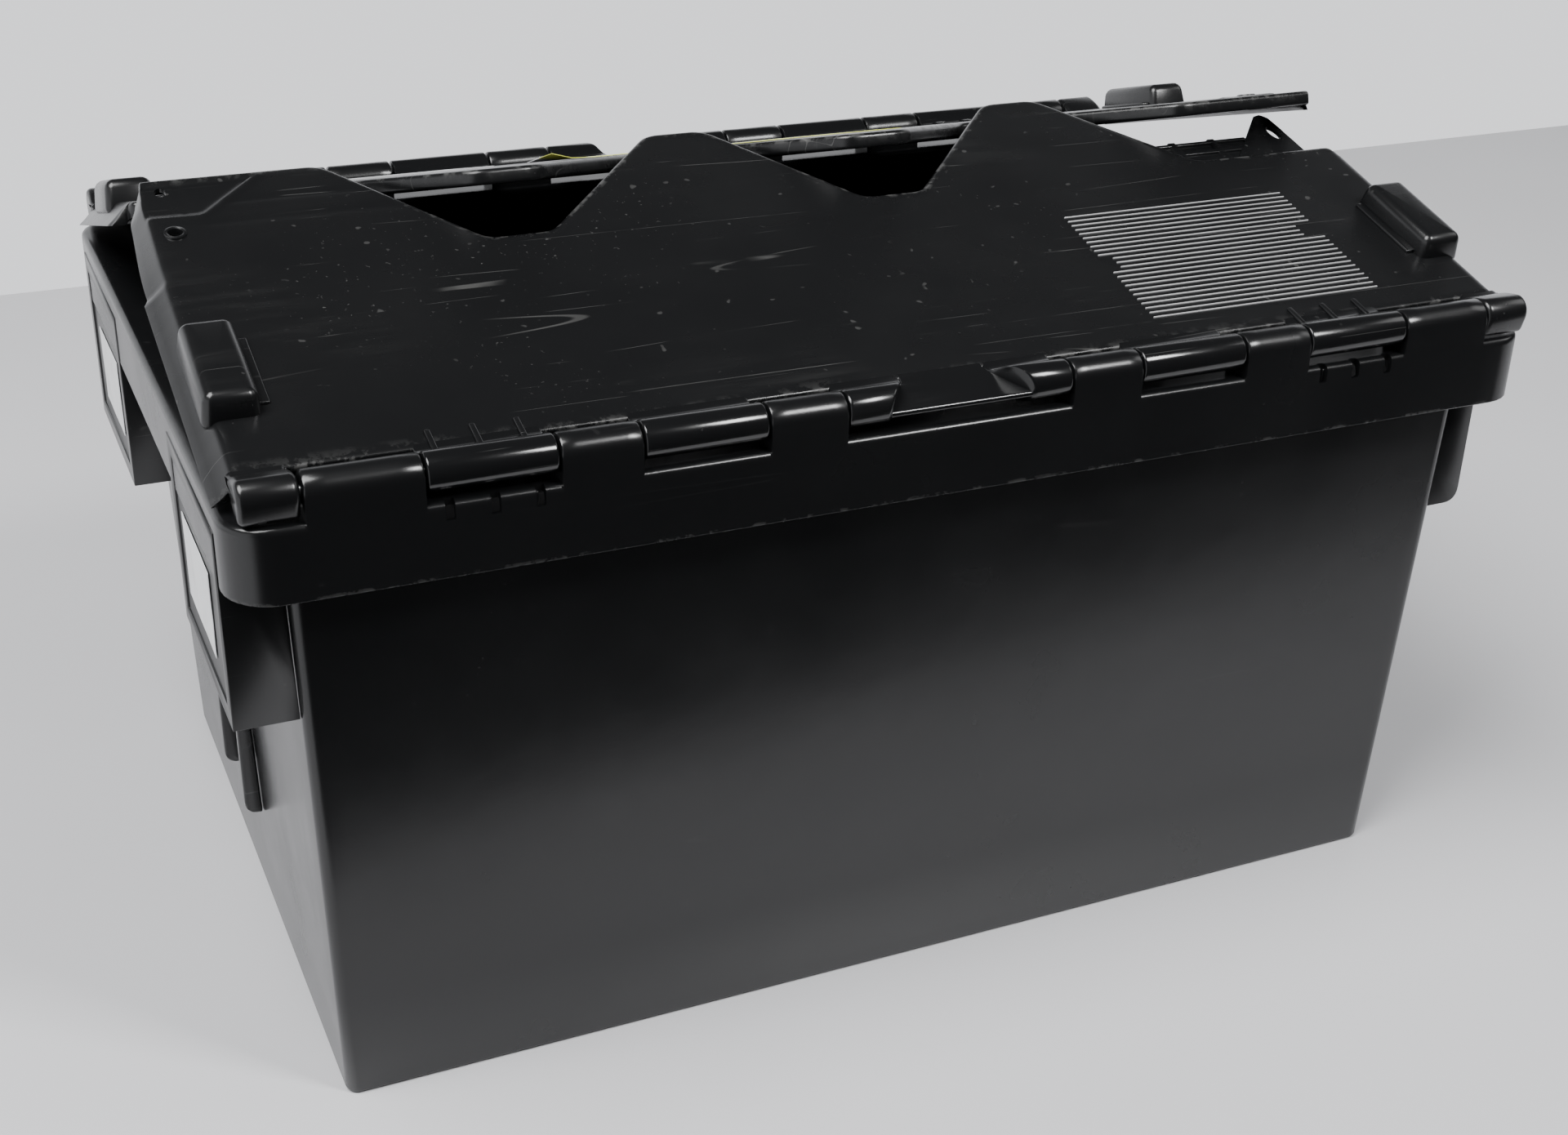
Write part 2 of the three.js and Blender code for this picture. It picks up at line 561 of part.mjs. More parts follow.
const lid = makeLid();
const frontHinge = new THREE.Group();
frontHinge.position.set(0, -axisY, axisZ);
frontHinge.rotation.x = THREE.MathUtils.degToRad(FRONT_OPEN_DEG);
addMesh(frontHinge, "front_lid", lid, black(0.25));
tote.add(frontHinge);

const backHinge = new THREE.Group();
backHinge.position.set(0, axisY, axisZ);
backHinge.rotation.set(-THREE.MathUtils.degToRad(BACK_OPEN_DEG), 0, 0);
addMesh(backHinge, "back_lid", turnedHalfway(lid), black(0.25));
const lidLabel = block([-LID_LABEL_LENGTH / 2, LID_LABEL_START, JOIN_GAP / 3],
  [LID_LABEL_LENGTH / 2, LID_LABEL_START + LID_LABEL_DEPTH, JOIN_GAP / 3 + LABEL_THICK]);
addMesh(backHinge, "lid_label", turnedHalfway(lidLabel), paper());
tote.add(backHinge);

export default tote;
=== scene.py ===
"""Looks of the attached lid tote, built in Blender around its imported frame.

The container moulding is one closed surface carried round the rim. Each lid is a closed panel surface
with its hinge barrels, corner caps and stacking blocks. Lengths are millimetres inside the classes and
metres in the meshes.
"""

import json
import logging
import math
from dataclasses import dataclass, field
from enum import Enum

import bmesh
import bpy
import numpy as np
from mathutils import Matrix, Vector

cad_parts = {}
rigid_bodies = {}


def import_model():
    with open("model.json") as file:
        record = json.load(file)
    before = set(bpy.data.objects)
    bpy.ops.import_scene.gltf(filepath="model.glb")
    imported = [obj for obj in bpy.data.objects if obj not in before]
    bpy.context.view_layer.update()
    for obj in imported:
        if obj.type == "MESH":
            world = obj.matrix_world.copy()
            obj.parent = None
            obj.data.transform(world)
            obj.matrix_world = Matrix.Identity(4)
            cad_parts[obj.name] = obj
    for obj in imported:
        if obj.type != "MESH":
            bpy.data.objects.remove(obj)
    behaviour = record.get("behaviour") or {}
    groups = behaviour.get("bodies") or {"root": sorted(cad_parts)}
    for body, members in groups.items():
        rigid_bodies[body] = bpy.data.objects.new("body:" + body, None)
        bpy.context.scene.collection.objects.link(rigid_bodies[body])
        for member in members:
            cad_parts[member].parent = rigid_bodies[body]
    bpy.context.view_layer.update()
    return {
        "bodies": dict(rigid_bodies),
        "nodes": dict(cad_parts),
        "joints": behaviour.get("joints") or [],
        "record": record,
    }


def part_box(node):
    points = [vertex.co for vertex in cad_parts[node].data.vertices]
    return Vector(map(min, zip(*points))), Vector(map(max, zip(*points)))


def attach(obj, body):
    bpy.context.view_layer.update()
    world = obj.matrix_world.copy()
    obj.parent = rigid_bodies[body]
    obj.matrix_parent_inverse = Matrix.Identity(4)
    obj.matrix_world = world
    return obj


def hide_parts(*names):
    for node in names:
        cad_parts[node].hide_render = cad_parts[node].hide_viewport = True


Array = np.ndarray
Nodes = bpy.types.NodeTree
Socket = bpy.types.NodeSocket
LOG = logging.getLogger("tote")
MM = 0.001
SHARP_ANGLE = math.radians(38)
FLAT_ANGLE = math.radians(1)
BEVEL_ANGLE = math.radians(30)
MERGE = 1e-6


class Side(Enum):
    """The two long sides, each with its own lid."""

    FRONT = -1
    BACK = 1


# ---------------------------------------------------------------- meshes
def linked(name: str, data: bpy.types.ID) -> bpy.types.Object:
    """Makes an object and links it to the scene.

    Args:
        name: Name of the object.
        data: Its mesh, camera or light.

    Returns:
        The object.
    """
    obj = bpy.data.objects.new(name, data)
    bpy.context.scene.collection.objects.link(obj)
    return obj


def mesh_object(name: str, points: Array, faces: list, wear_and_sheen: Array | None = None) -> bpy.types.Object:
    """Makes a closed mesh object, with its normals outwards and its sharp edges marked.

    Args:
        name: Name of the piece.
        points: Vertex places in millimetres, one row each.
        faces: Vertex numbers of each face.
        wear_and_sheen: How worn each vertex is, from 0 to 1; along the container band's lower edge the same
            value paints a highlight.

    Returns:
        The object, linked to the scene.
    """
    mesh = bpy.data.meshes.new(name)
    mesh.from_pydata((points * MM).tolist(), [], faces)
    wear_and_highlight = np.zeros(len(points)) if wear_and_sheen is None else wear_and_sheen
    mesh.attributes.new("wear_and_sheen", "FLOAT", "POINT").data.foreach_set("value", wear_and_highlight.astype(np.float32))
    obj = linked(name, mesh)
    tidy_mesh(mesh)
    smooth_shade(mesh)
    return obj


def tidy_mesh(mesh: bpy.types.Mesh, join_flat: bool = False) -> None:
    """Merges doubles and turns the faces outwards.

    Args:
        mesh: Mesh to tidy.
        join_flat: Whether faces in one plane become one face, in place of losing the tiniest edges.
    """
    work = bmesh.new()
    work.from_mesh(mesh)
    bmesh.ops.remove_doubles(work, verts=work.verts, dist=MERGE)
    if join_flat:
        bmesh.ops.dissolve_limit(work, angle_limit=FLAT_ANGLE, verts=work.verts, edges=work.edges)
    else:
        bmesh.ops.dissolve_degenerate(work, dist=MERGE / 2, edges=work.edges)
    bmesh.ops.recalc_face_normals(work, faces=work.faces)
    work.to_mesh(mesh)
    work.free()


def smooth_shade(mesh: bpy.types.Mesh) -> None:
    """Shades a mesh smooth over all but its sharp edges."""
    mesh.shade_smooth()
    mesh.set_sharp_from_angle(angle=SHARP_ANGLE)


def apply_modifiers(obj: bpy.types.Object) -> None:
    """Puts the result of an object's modifiers into its mesh, keeping its own attributes."""
    bpy.context.view_layer.update()
    graph = bpy.context.evaluated_depsgraph_get()
    mesh = bpy.data.meshes.new_from_object(obj.evaluated_get(graph))
    obj.modifiers.clear()
    obj.data = mesh
    smooth_shade(mesh)


def cut_away(obj: bpy.types.Object, name: str, points: Array, faces: list) -> None:
    """Cuts closed cutters out of a piece.

    Args:
        obj: The piece.
        name: Name of the cut.
        points: Points of the cutters, in the piece's own place.
        faces: Faces of the cutters.
    """
    cutter = mesh_object(f"{name}_cutter", points, faces)
    cut = obj.modifiers.new(name, "BOOLEAN")
    cut.object = cutter
    cut.operation = "DIFFERENCE"
    cut.solver = "EXACT"
    apply_modifiers(obj)
    bpy.data.objects.remove(cutter)


def grid_faces(rows: int, columns: int, wrap_rows: bool = False, wrap_columns: bool = False) -> list:
    """Quads of a grid whose vertex (i, j) is number i * columns + j.

    Args:
        rows: Count of rows.
        columns: Count of columns.
        wrap_rows: Whether the last row joins the first.
        wrap_columns: Whether the last column joins the first.

    Returns:
        Vertex numbers, four a face.
    """
    i = np.arange(rows if wrap_rows else rows - 1)[:, None]
    j = np.arange(columns if wrap_columns else columns - 1)[None, :]
    down, along = (i + 1) % rows, (j + 1) % columns
    quads = np.stack([i * columns + j, down * columns + j, down * columns + along, i * columns + along], -1)
    return quads.reshape(-1, 4).tolist()


def swept_solid(loops: Array) -> tuple[Array, list]:
    """Closed surface through a row of closed loops, each end closed by a pole at its loop's middle.

    Args:
        loops: Points of shape (stations, loop points, 3).

    Returns:
        Points and faces.
    """
    stations, count, _ = loops.shape
    faces = grid_faces(stations, count, wrap_columns=True)
    first, last = stations * count, stations * count + 1
    ring = np.arange(count)
    following = (ring + 1) % count
    end = (stations - 1) * count
    faces += np.stack([np.full(count, first), ring, following], -1).tolist()
    faces += np.stack([np.full(count, last), end + following, end + ring], -1).tolist()
    poles = np.stack([loops[0].mean(0), loops[-1].mean(0)])
    return np.concatenate([loops.reshape(-1, 3), poles]), faces


def joined(parts: list[tuple[Array, list]]) -> tuple[Array, list]:
    """Several point and face sets as one, with the face numbers moved on."""
    points: list[Array] = []
    faces: list = []
    start = 0
    for some_points, some_faces in parts:
        points.append(some_points)
        faces += [[n + start for n in face] for face in some_faces]
        start += len(some_points)
    return np.concatenate(points), faces


def drawn_in(section: Array, distance: float) -> Array:
    """Closed section moved inwards along its own normals.

    Args:
        section: Points (across, up) in order round the section.
        distance: How far inwards.

    Returns:
        The moved points.
    """
    tangent = np.roll(section, -1, 0) - np.roll(section, 1, 0)
    normal = np.stack([tangent[:, 1], -tangent[:, 0]], -1)
    normal /= np.linalg.norm(normal, axis=1, keepdims=True) + 1e-9
    x, y = section[:, 0], section[:, 1]
    turn = np.sign(np.sum(x * np.roll(y, -1) - np.roll(x, -1) * y))
    return section - normal * turn * distance


def bar_along_x(section: Array, x0: float, x1: float, edge: float) -> tuple[Array, list]:
    """Bar from x0 to x1 over a section in y and z, its end edges rounded by a quarter circle.

    Each station near an end is drawn in by edge - sqrt(edge^2 - (edge - run)^2), a quarter circle.

    Args:
        section: Points (y, z) round the section.
        x0: Low end.
        x1: High end.
        edge: Rounding of the ends.

    Returns:
        Points and faces.
    """
    run = np.array([0.0, 0.08, 0.3, 0.6, 1.0]) * edge
    inset = edge - np.sqrt(np.maximum(edge**2 - (edge - run) ** 2, 0))
    xs = np.concatenate([x0 + run, (x1 - run)[::-1]])
    insets = np.concatenate([inset, inset[::-1]])
    loops = [np.column_stack([np.full(len(section), x), drawn_in(section, d)]) for x, d in zip(xs, insets)]
    return swept_solid(np.array(loops))


def rounded_block(low: Array, high: Array, radius: float, draft: float = 0.0) -> tuple[Array, list]:
    """Block between two corners with rounded edges, whose sides lean in towards the top.

    Each level is a rounded rectangle; levels near the bottom and the top are drawn in by a quarter
    circle, and every level is drawn in by draft times its share of the height.

    Args:
        low: Lowest corner.
        high: Highest corner.
        radius: Rounding of the edges.
        draft: How far the top is drawn in on each side.

    Returns:
        Points and faces.
    """
    angle = np.linspace(0, math.pi / 2, 5)
    rise = radius * (1 - np.cos(angle))
    inset = radius * (1 - np.sin(angle))
    z = np.concatenate([low[2] + rise, (high[2] - rise)[::-1]])
    inwards = np.concatenate([inset, inset[::-1]])
    share = (z - low[2]) / (high[2] - low[2])
    middle = (low + high) / 2
    turn = np.linspace(0, 2 * math.pi, 24, endpoint=False) + math.pi / 24
    loops = []
    for level, d, s in zip(z, inwards, share):
        half = (high - low)[:2] / 2 - draft * s - d
        corner = max(radius - d, 0.05)
        flat = half - corner
        direction = circle(turn)
        ring = np.sign(direction) * flat + direction * corner
        loops.append(at_height(middle[:2] + ring, level))
    return swept_solid(np.array(loops))


def span_block(x: tuple, y: tuple, z: tuple, radius: float, draft: float = 0.0) -> tuple[Array, list]:
    """Rounded block over a span on each axis, with the two ends of a span in either order.

    Args:
        x: Ends along the length.
        y: Ends across.
        z: Ends upwards.
        radius: Rounding of the edges.
        draft: How far the top is drawn in on each side.

    Returns:
        Points and faces.
    """
    spans = np.sort(np.array([x, y, z], dtype=float), axis=1)
    return rounded_block(spans[:, 0], spans[:, 1], radius, draft)


def stations_of(x: Array, reach: Array, up: Array) -> Array:
    """Points (stations, places, 3) from each station's x, its reaches and its heights."""
    return np.stack(np.broadcast_arrays(x[:, None], reach, up), -1)


def at_height(ring: Array, z: float) -> Array:
    """Points of a flat ring (x, y) at one height."""
    return np.column_stack([ring, np.full(len(ring), z)])


def circle(turn: Array, across: float = 1.0, along: float = 1.0) -> Array:
    """Points (across cos, along sin) of a circle or an oval at each angle."""
    return np.column_stack([across * np.cos(turn), along * np.sin(turn)])


def smooth_step(x: Array, low: float, high: float) -> Array:
    """Rises from 0 at low to 1 at high as 3t^2 - 2t^3."""
    t = np.clip((x - low) / (high - low), 0, 1)
    return t * t * (3 - 2 * t)


# ---------------------------------------------------------------- sizes from the frame
@dataclass(frozen=True)
class Measures:
    """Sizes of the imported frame, in millimetres."""

    half_length: float
    half_width: float
    rim_top: float
    rim_bottom: float
    base: Array
    mouth: Array
    hinge_y: float
    hinge_z: float
    open_angle: dict

    @classmethod
    def of_frame(cls, frame: dict) -> "Measures":
        """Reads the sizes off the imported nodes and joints.


        Returns:
            The measures.
        """
        low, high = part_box("rim_front")
        _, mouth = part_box("tub_shell")
        end_low, end_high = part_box("rim_left")
        tub = np.array([v.co for v in frame["nodes"]["tub_shell"].data.vertices])
        base = np.abs(tub[tub[:, 2] < MM]).max(0)
        joints = {joint["name"]: joint for joint in frame["joints"]}
        hinge = joints["front_lid_hinge"]["pos_m"]
        angles = {
            side: -math.radians(joints[name]["range_deg"][0])
            for side, name in ((Side.FRONT, "front_lid_hinge"), (Side.BACK, "back_lid_hinge"))
        }
        return cls(
            half_length=high.x / MM,
            half_width=-low.y / MM,
            rim_top=end_high.z / MM,
            rim_bottom=end_low.z / MM,
            base=base[:2] / MM,
            mouth=np.array([mouth.x, mouth.y]) / MM,
            hinge_y=-hinge[1] / MM,
            hinge_z=hinge[2] / MM,
            open_angle=angles,
        )

    def wall(self, z: float) -> Array:
        """Half sizes of the tub's outer face at a height, straight from base to mouth."""
        return self.base + (self.mouth - self.base) * z / self.rim_top


@dataclass(frozen=True)
class HingeLine:
    """Segments of the hinge line, shared by the rim and the lids."""

    measures: Measures
    radius: float = 8.0
    cap_width: float = 24.0
    cap_inset: float = 6.0
    gap: float = 1.0
    widths: tuple = (53.4, 34.1, 54.7, 33.6, 54.0, 45.7)

    @property
    def cap_end(self) -> float:
        """Outer end of the corner caps."""
        return self.measures.half_length - self.cap_inset

    @property
    def steps(self) -> Array:
        """Outer ends of the segments from the middle outwards."""
        fill = (self.cap_end - self.cap_width - self.gap) / sum(self.widths)
        return np.cumsum(self.widths) * fill

    def rim_spans(self) -> list[tuple[float, float]]:
        """Both ends of each rim knuckle, from low x to high x."""
        s = self.steps
        right = [(s[0], s[1]), (s[2], s[3]), (s[4], s[5])]
        return [(-b, -a) for a, b in reversed(right)] + right

    def barrel_spans(self) -> list[tuple[float, float]]:
        """Both ends of each lid barrel beside the middle one."""
        s = self.steps
        right = [(s[1] + self.gap, s[2] - self.gap), (s[3] + self.gap, s[4] - self.gap)]
        return [(-b, -a) for a, b in reversed(right)] + right

    def rib_places(self) -> list[float]:
        """Middles of the three notches and small ribs at each outer barrel."""
        s = self.steps
        pitch = (s[4] - s[3]) / 3
        right = [s[3] + pitch * (i + 0.5) for i in range(3)]
        return [-x for x in reversed(right)] + right


# ---------------------------------------------------------------- finishes
class NodeKit:
    """Adds nodes to one tree with short calls."""

    def __init__(self, tree: Nodes) -> None:
        """Keeps the tree."""
        self.tree = tree

    def node(self, kind: str, inputs: dict | None = None, **settings: object) -> bpy.types.Node:
        """Adds a node.

        Args:
            kind: Blender's node type, without ShaderNode.
            inputs: Values or sockets for its inputs, by name or number.
            settings: Properties to set on the node.

        Returns:
            The new node.
        """
        made = self.tree.nodes.new("ShaderNode" + kind)
        for key, value in settings.items():
            setattr(made, key, value)
        self.feed(made, inputs or {})
        return made

    def feed(self, made: bpy.types.Node, inputs: dict) -> None:
        """Sets a node's inputs to values, or links sockets to them.

        Args:
            made: The node.
            inputs: Values or sockets for its inputs, by name or number.
        """
        for key, value in inputs.items():
            if isinstance(value, bpy.types.NodeSocket):
                self.tree.links.new(value, made.inputs[key])
            else:
                made.inputs[key].default_value = value

    def times(self, first: object, second: object) -> Socket:
        """Product of two values."""
        return self.math("MULTIPLY", first, second)

    def plus(self, first: object, second: object) -> Socket:
        """Sum of two values."""
        return self.math("ADD", first, second)

    def minus(self, first: object, second: object) -> Socket:
        """First value less the second."""
        return self.math("SUBTRACT", first, second)

    def mixed(self, share: Socket, first: object, second: tuple) -> Socket:
        """Colour that goes from the first to the second by a share."""
        start = (*first, 1) if isinstance(first, tuple) else first
        inputs = {0: share, "A": start, "B": (*second, 1)}
        return self.node("Mix", inputs, data_type="RGBA").outputs["Result"]

    def bump(self, height: Socket, distance: float, strength: float = 1.0) -> Socket:
        """Normal that follows a height."""
        inputs = {"Height": height, "Distance": distance, "Strength": strength}
        return self.node("Bump", inputs).outputs["Normal"]

    def math(self, operation: str, *values: object) -> Socket:
        """Result of one Math node."""
        return self.node("Math", dict(enumerate(values)), operation=operation).outputs[0]

    def noise(self, vector: Socket, scale: float, detail: float = 2.0, rough: float = 0.5) -> Socket:
        """Noise between 0 and 1 on a vector."""
        inputs = {"Vector": vector, "Scale": scale, "Detail": detail, "Roughness": rough}
        return self.node("TexNoise", inputs).outputs["Fac"]

    def step(self, value: Socket, low: float, high: float) -> Socket:
        """Smooth rise from 0 at low to 1 at high."""
        inputs = {"Value": value, "From Min": low, "From Max": high}
        return self.node("MapRange", inputs, interpolation_type="SMOOTHSTEP").outputs[0]

    def stretched(self, vector: Socket, turn: tuple, scale: tuple) -> Socket:
        """Vector turned and then scaled."""
        inputs = {"Vector": vector, "Rotation": turn, "Scale": scale}
        return self.node("Mapping", inputs).outputs[0]


def new_material(name: str) -> tuple[bpy.types.Material, NodeKit, bpy.types.Node, Socket]:
    """Starts a material.

    Args:
        name: Name of the material.

    Returns:
        The material, a kit for its tree, its shader and the object's own coordinates.
    """
    material = bpy.data.materials.new(name)
    material.use_nodes = True
    kit = NodeKit(material.node_tree)
    shader = material.node_tree.nodes["Principled BSDF"]
    return material, kit, shader, kit.node("TexCoord").outputs["Object"]


def new_group(name: str, *extra: str) -> tuple[NodeKit, bpy.types.Node]:
    """Starts a shader node group that puts out a Mask.

    Args:
        name: Name of the group.
        extra: Names of its float inputs beside Vector and Amount.

    Returns:
        A kit for the group's tree and its input node.
    """
    group = bpy.data.node_groups.new(name, "ShaderNodeTree")
    group.interface.new_socket("Vector", in_out="INPUT", socket_type="NodeSocketVector")
    for key in ("Amount", *extra):
        group.interface.new_socket(key, in_out="INPUT", socket_type="NodeSocketFloat")
    group.interface.new_socket("Mask", in_out="OUTPUT", socket_type="NodeSocketFloat")
    return NodeKit(group), group.nodes.new("NodeGroupInput")


def closed_group(kit: NodeKit, mask: Socket) -> Nodes:
    """Group of a kit, with its mask put out."""
    kit.feed(kit.tree.nodes.new("NodeGroupOutput"), {"Mask": mask})
    return kit.tree


def scratch_group() -> Nodes:
    """Hairline scratches: the narrow band where stretched noise crosses its middle, broken into lengths.

    Returns:
        The node group, with a Mask from 0 to 1.
    """
    kit, given = new_group("hairline_scratches")
    vector, amount = given.outputs["Vector"], given.outputs["Amount"]
    marks = []
    settings = (
        ((0.2, 0.1, 0.35), (0.9, 30, 30), 0.0028),
        ((0.0, 0.0, -0.75), (1.1, 34, 34), 0.0024),
        ((0.1, 0.3, 1.2), (0.8, 24, 24), 0.002),
        ((0.0, 0.0, 0.1), (0.7, 60, 60), 0.0035),
    )
    for number, (turn, scale, width) in enumerate(settings):
        middle = kit.minus(kit.noise(kit.stretched(vector, turn, scale), 1.0, 0.0), 0.5)
        thin = kit.minus(1.0, kit.step(kit.math("ABSOLUTE", middle), width * 0.3, width))
        shift = kit.stretched(vector, (0.5 * number, 0.2, 0.9), (9, 9, 9))
        broken = kit.step(kit.noise(shift, 1.0 + 0.37 * number, 3.0), 0.55, 0.66)
        marks.append(kit.times(thin, broken))
    total = marks[0]
    for mark in marks[1:]:
        total = kit.math("MAXIMUM", total, mark)
    return closed_group(kit, kit.times(total, amount))


def dust_group() -> Nodes:
    """Dust: fine specks where small noise peaks, gathered by patches of large noise.

    Returns:
        The node group, with a Mask from 0 to 1.
    """
    kit, given = new_group("dust_specks")
    vector = given.outputs["Vector"]
    fine = kit.step(kit.noise(vector, 420, 2.0, 0.6), 0.66, 0.78)
    grit = kit.step(kit.noise(vector, 160, 1.0), 0.74, 0.8)
    patches = kit.step(kit.noise(vector, 9, 3.0, 0.6), 0.45, 0.72)
    mixed = kit.plus(kit.times(fine, patches), kit.times(grit, 0.5))
    return closed_group(kit, kit.times(mixed, given.outputs["Amount"]))


def scuff_and_sheen_group() -> Nodes:
    """Rubbed patches: streaky noise along the length inside large soft patches, and chips where the wear
    input is high, which along the container band's lower edge are a painted highlight.

    Returns:
        The node group, with a Mask from 0 to 1.
    """
    kit, given = new_group("rubbed_patches_and_edge_sheen", "Wear And Sheen")
    vector = given.outputs["Vector"]
    streaks = kit.noise(kit.stretched(vector, (0, 0, 0.15), (6, 70, 70)), 1.5, 5.0, 0.7)
    patches = kit.step(kit.noise(vector, 6.5, 2.0), 0.56, 0.76)
    rubbed = kit.times(kit.step(streaks, 0.45, 0.75), patches)
    # Chips scaled by the wear input: worn spots on the lids, and on the container band's lower edge a painted
    # highlight.
    chips_and_glints = kit.step(kit.noise(vector, 130, 4.0, 0.7), 0.48, 0.62)
    wear_and_highlight = kit.times(chips_and_glints, given.outputs["Wear And Sheen"])
    return closed_group(kit, kit.math("MAXIMUM", kit.times(rubbed, given.outputs["Amount"]), wear_and_highlight))


@dataclass(frozen=True)
class BlackPlastic:
    """Recycled black polypropylene: near black, softly mottled gloss, with marks of use and, on the container
    band's lower edge, a painted highlight.
    """

    name: str
    roughness: float
    scratches: float
    dust: float
    scuffs: float
    grain: float = 0.00004
    colour: tuple = (0.0052, 0.0054, 0.0058)
    mark_and_sheen_colour: tuple = (0.19, 0.19, 0.185)
    dullest: float = 0.9

    def make(self, groups: dict[str, Nodes]) -> bpy.types.Material:
        """Builds the material.

        Args:
            groups: Shared node groups by name.

        Returns:
            The material.
        """
        material, kit, shader, place = new_material(self.name)
        wear_and_sheen = kit.node("Attribute", attribute_name="wear_and_sheen").outputs["Fac"]
        masks = {}
        for key, amount in (("scratch", self.scratches), ("dust", self.dust), ("scuff_and_sheen", self.scuffs)):
            inputs = {"Vector": place, "Amount": amount} | ({"Wear And Sheen": wear_and_sheen} if key == "scuff_and_sheen" else {})
            masks[key] = kit.node("Group", inputs, node_tree=groups[key]).outputs["Mask"]
        marks = kit.plus(kit.times(masks["scratch"], 0.55), masks["dust"])
        # Share of the mark colour: scratches, dust and scuffs, with the chips that paint the highlight on the
        # container band's lower edge.
        share = kit.math("MINIMUM", kit.plus(marks, kit.times(masks["scuff_and_sheen"], 0.5)), 1.0)
        mottled = kit.times(kit.minus(kit.noise(place, 14, 4.0, 0.6), 0.5), 0.16)
        rubbed = kit.times(kit.plus(masks["scuff_and_sheen"], masks["dust"]), 0.35)
        rough = kit.plus(kit.plus(mottled, self.roughness), rubbed)
        waves = kit.noise(kit.stretched(place, (0, 0, 0), (1, 2.5, 1)), 16, 2.0)
        height = kit.plus(kit.times(kit.noise(place, 900, 2.0), 0.3), kit.times(waves, 6.0))
        height = kit.minus(height, kit.times(masks["scratch"], 1.2))
        kit.feed(shader, {
            "Base Color": kit.mixed(share, self.colour, self.mark_and_sheen_colour),
            "Roughness": kit.math("MINIMUM", rough, self.dullest),
            "Normal": kit.bump(height, self.grain),
        })
        return material


@dataclass(frozen=True)
class Paper:
    """Blank label paper: off white, slightly creased, with an optional coloured band along one edge."""

    name: str
    colour: tuple = (0.78, 0.79, 0.8)
    band_colour: tuple = (0.72, 0.75, 0.12)
    banded: bool = False

    def make(self) -> bpy.types.Material:
        """Builds the material, with the band read from the piece's own band attribute."""
        material, kit, shader, place = new_material(self.name)
        stains = kit.step(kit.noise(place, 60, 4.0, 0.6), 0.4, 0.9)
        colour = kit.mixed(stains, self.colour, tuple(c * 0.8 for c in self.colour))
        if self.banded:
            band = kit.step(kit.node("Attribute", attribute_name="wear_and_sheen").outputs["Fac"], 0.45, 0.55)
            colour = kit.mixed(band, colour, self.band_colour)
        kit.feed(shader, {
            "Base Color": colour,
            "Roughness": kit.plus(kit.times(stains, 0.2), 0.55),
            "Normal": kit.bump(kit.noise(place, 40, 3.0), 0.0004, 0.6),
        })
        return material


@dataclass(frozen=True)
class RodSteel:
    """Bright drawn steel of the hinge rods, with fine lines along the rod and dull spots."""

    name: str = "rod_steel"
    clean: tuple = (0.5, 0.51, 0.52)
    dull: tuple = (0.26, 0.23, 0.2)

    def make(self) -> bpy.types.Material:
        """Builds the material."""
        material, kit, shader, place = new_material(self.name)
        lines = kit.noise(kit.stretched(place, (0, 0, 0), (4, 900, 900)), 1.0, 3.0)
        spots = kit.step(kit.noise(place, 90, 3.0), 0.5, 0.75)
        rough = kit.plus(kit.times(lines, 0.25), kit.times(spots, 0.25))
        kit.feed(shader, {
            "Base Color": kit.mixed(spots, self.clean, self.dull),
            "Roughness": kit.plus(rough, 0.15),
            "Metallic": 1.0,
            "Normal": kit.bump(lines, 0.00003),
        })
        return material


@dataclass
class Finishes:
    """All finishes of the object, made once."""

    container: bpy.types.Material = field(init=False)
    rim: bpy.types.Material = field(init=False)
    lid: bpy.types.Material = field(init=False)
    barrel: bpy.types.Material = field(init=False)
    housing: bpy.types.Material = field(init=False)
    rib: bpy.types.Material = field(init=False)
    paper: bpy.types.Material = field(init=False)
    banded_paper: bpy.types.Material = field(init=False)
    steel: bpy.types.Material = field(init=False)

    def __post_init__(self) -> None:
        """Makes the shared groups and the materials."""
        groups = {"scratch": scratch_group(), "dust": dust_group(), "scuff_and_sheen": scuff_and_sheen_group()}
        self.container = BlackPlastic("tub_black", 0.25, 0.05, 0.05, 0.01).make(groups)
        self.lid = BlackPlastic("lid_black", 0.27, 0.42, 0.3, 0.12).make(groups)
        self.barrel = BlackPlastic("hinge_black", 0.17, 0.25, 0.12, 0.06, grain=0.00002).make(groups)
        self.housing = BlackPlastic("housing_black", 0.3, 0.3, 0.15, 0.05).make(groups)
        # The grip ribs are coloured light grey all over.
        self.rib = BlackPlastic("rib_light_grey", 0.3, 0, 0.1, 0.2, colour=(0.34, 0.34, 0.345)).make(groups)
        self.paper = Paper("label_white").make()
        self.banded_paper = Paper("label_banded", banded=True).make()
        self.steel = RodSteel().make()


def dress(
    obj: bpy.types.Object, material: bpy.types.Material, body: str, nodes: tuple = ()
) -> None:
    """Gives a piece its finish, its body and the nodes it stands for, and reports it.

    Args:
        obj: The piece.
        material: Its finish.
        body: The CAD body it rides on.
        nodes: CAD nodes that it replaces.
    """
    obj.data.materials.clear()
    obj.data.materials.append(material)
    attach(obj, body)
    if nodes:
        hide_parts(*nodes)
    LOG.info("%s rides on %s with %d faces", obj.name, body, len(obj.data.polygons))


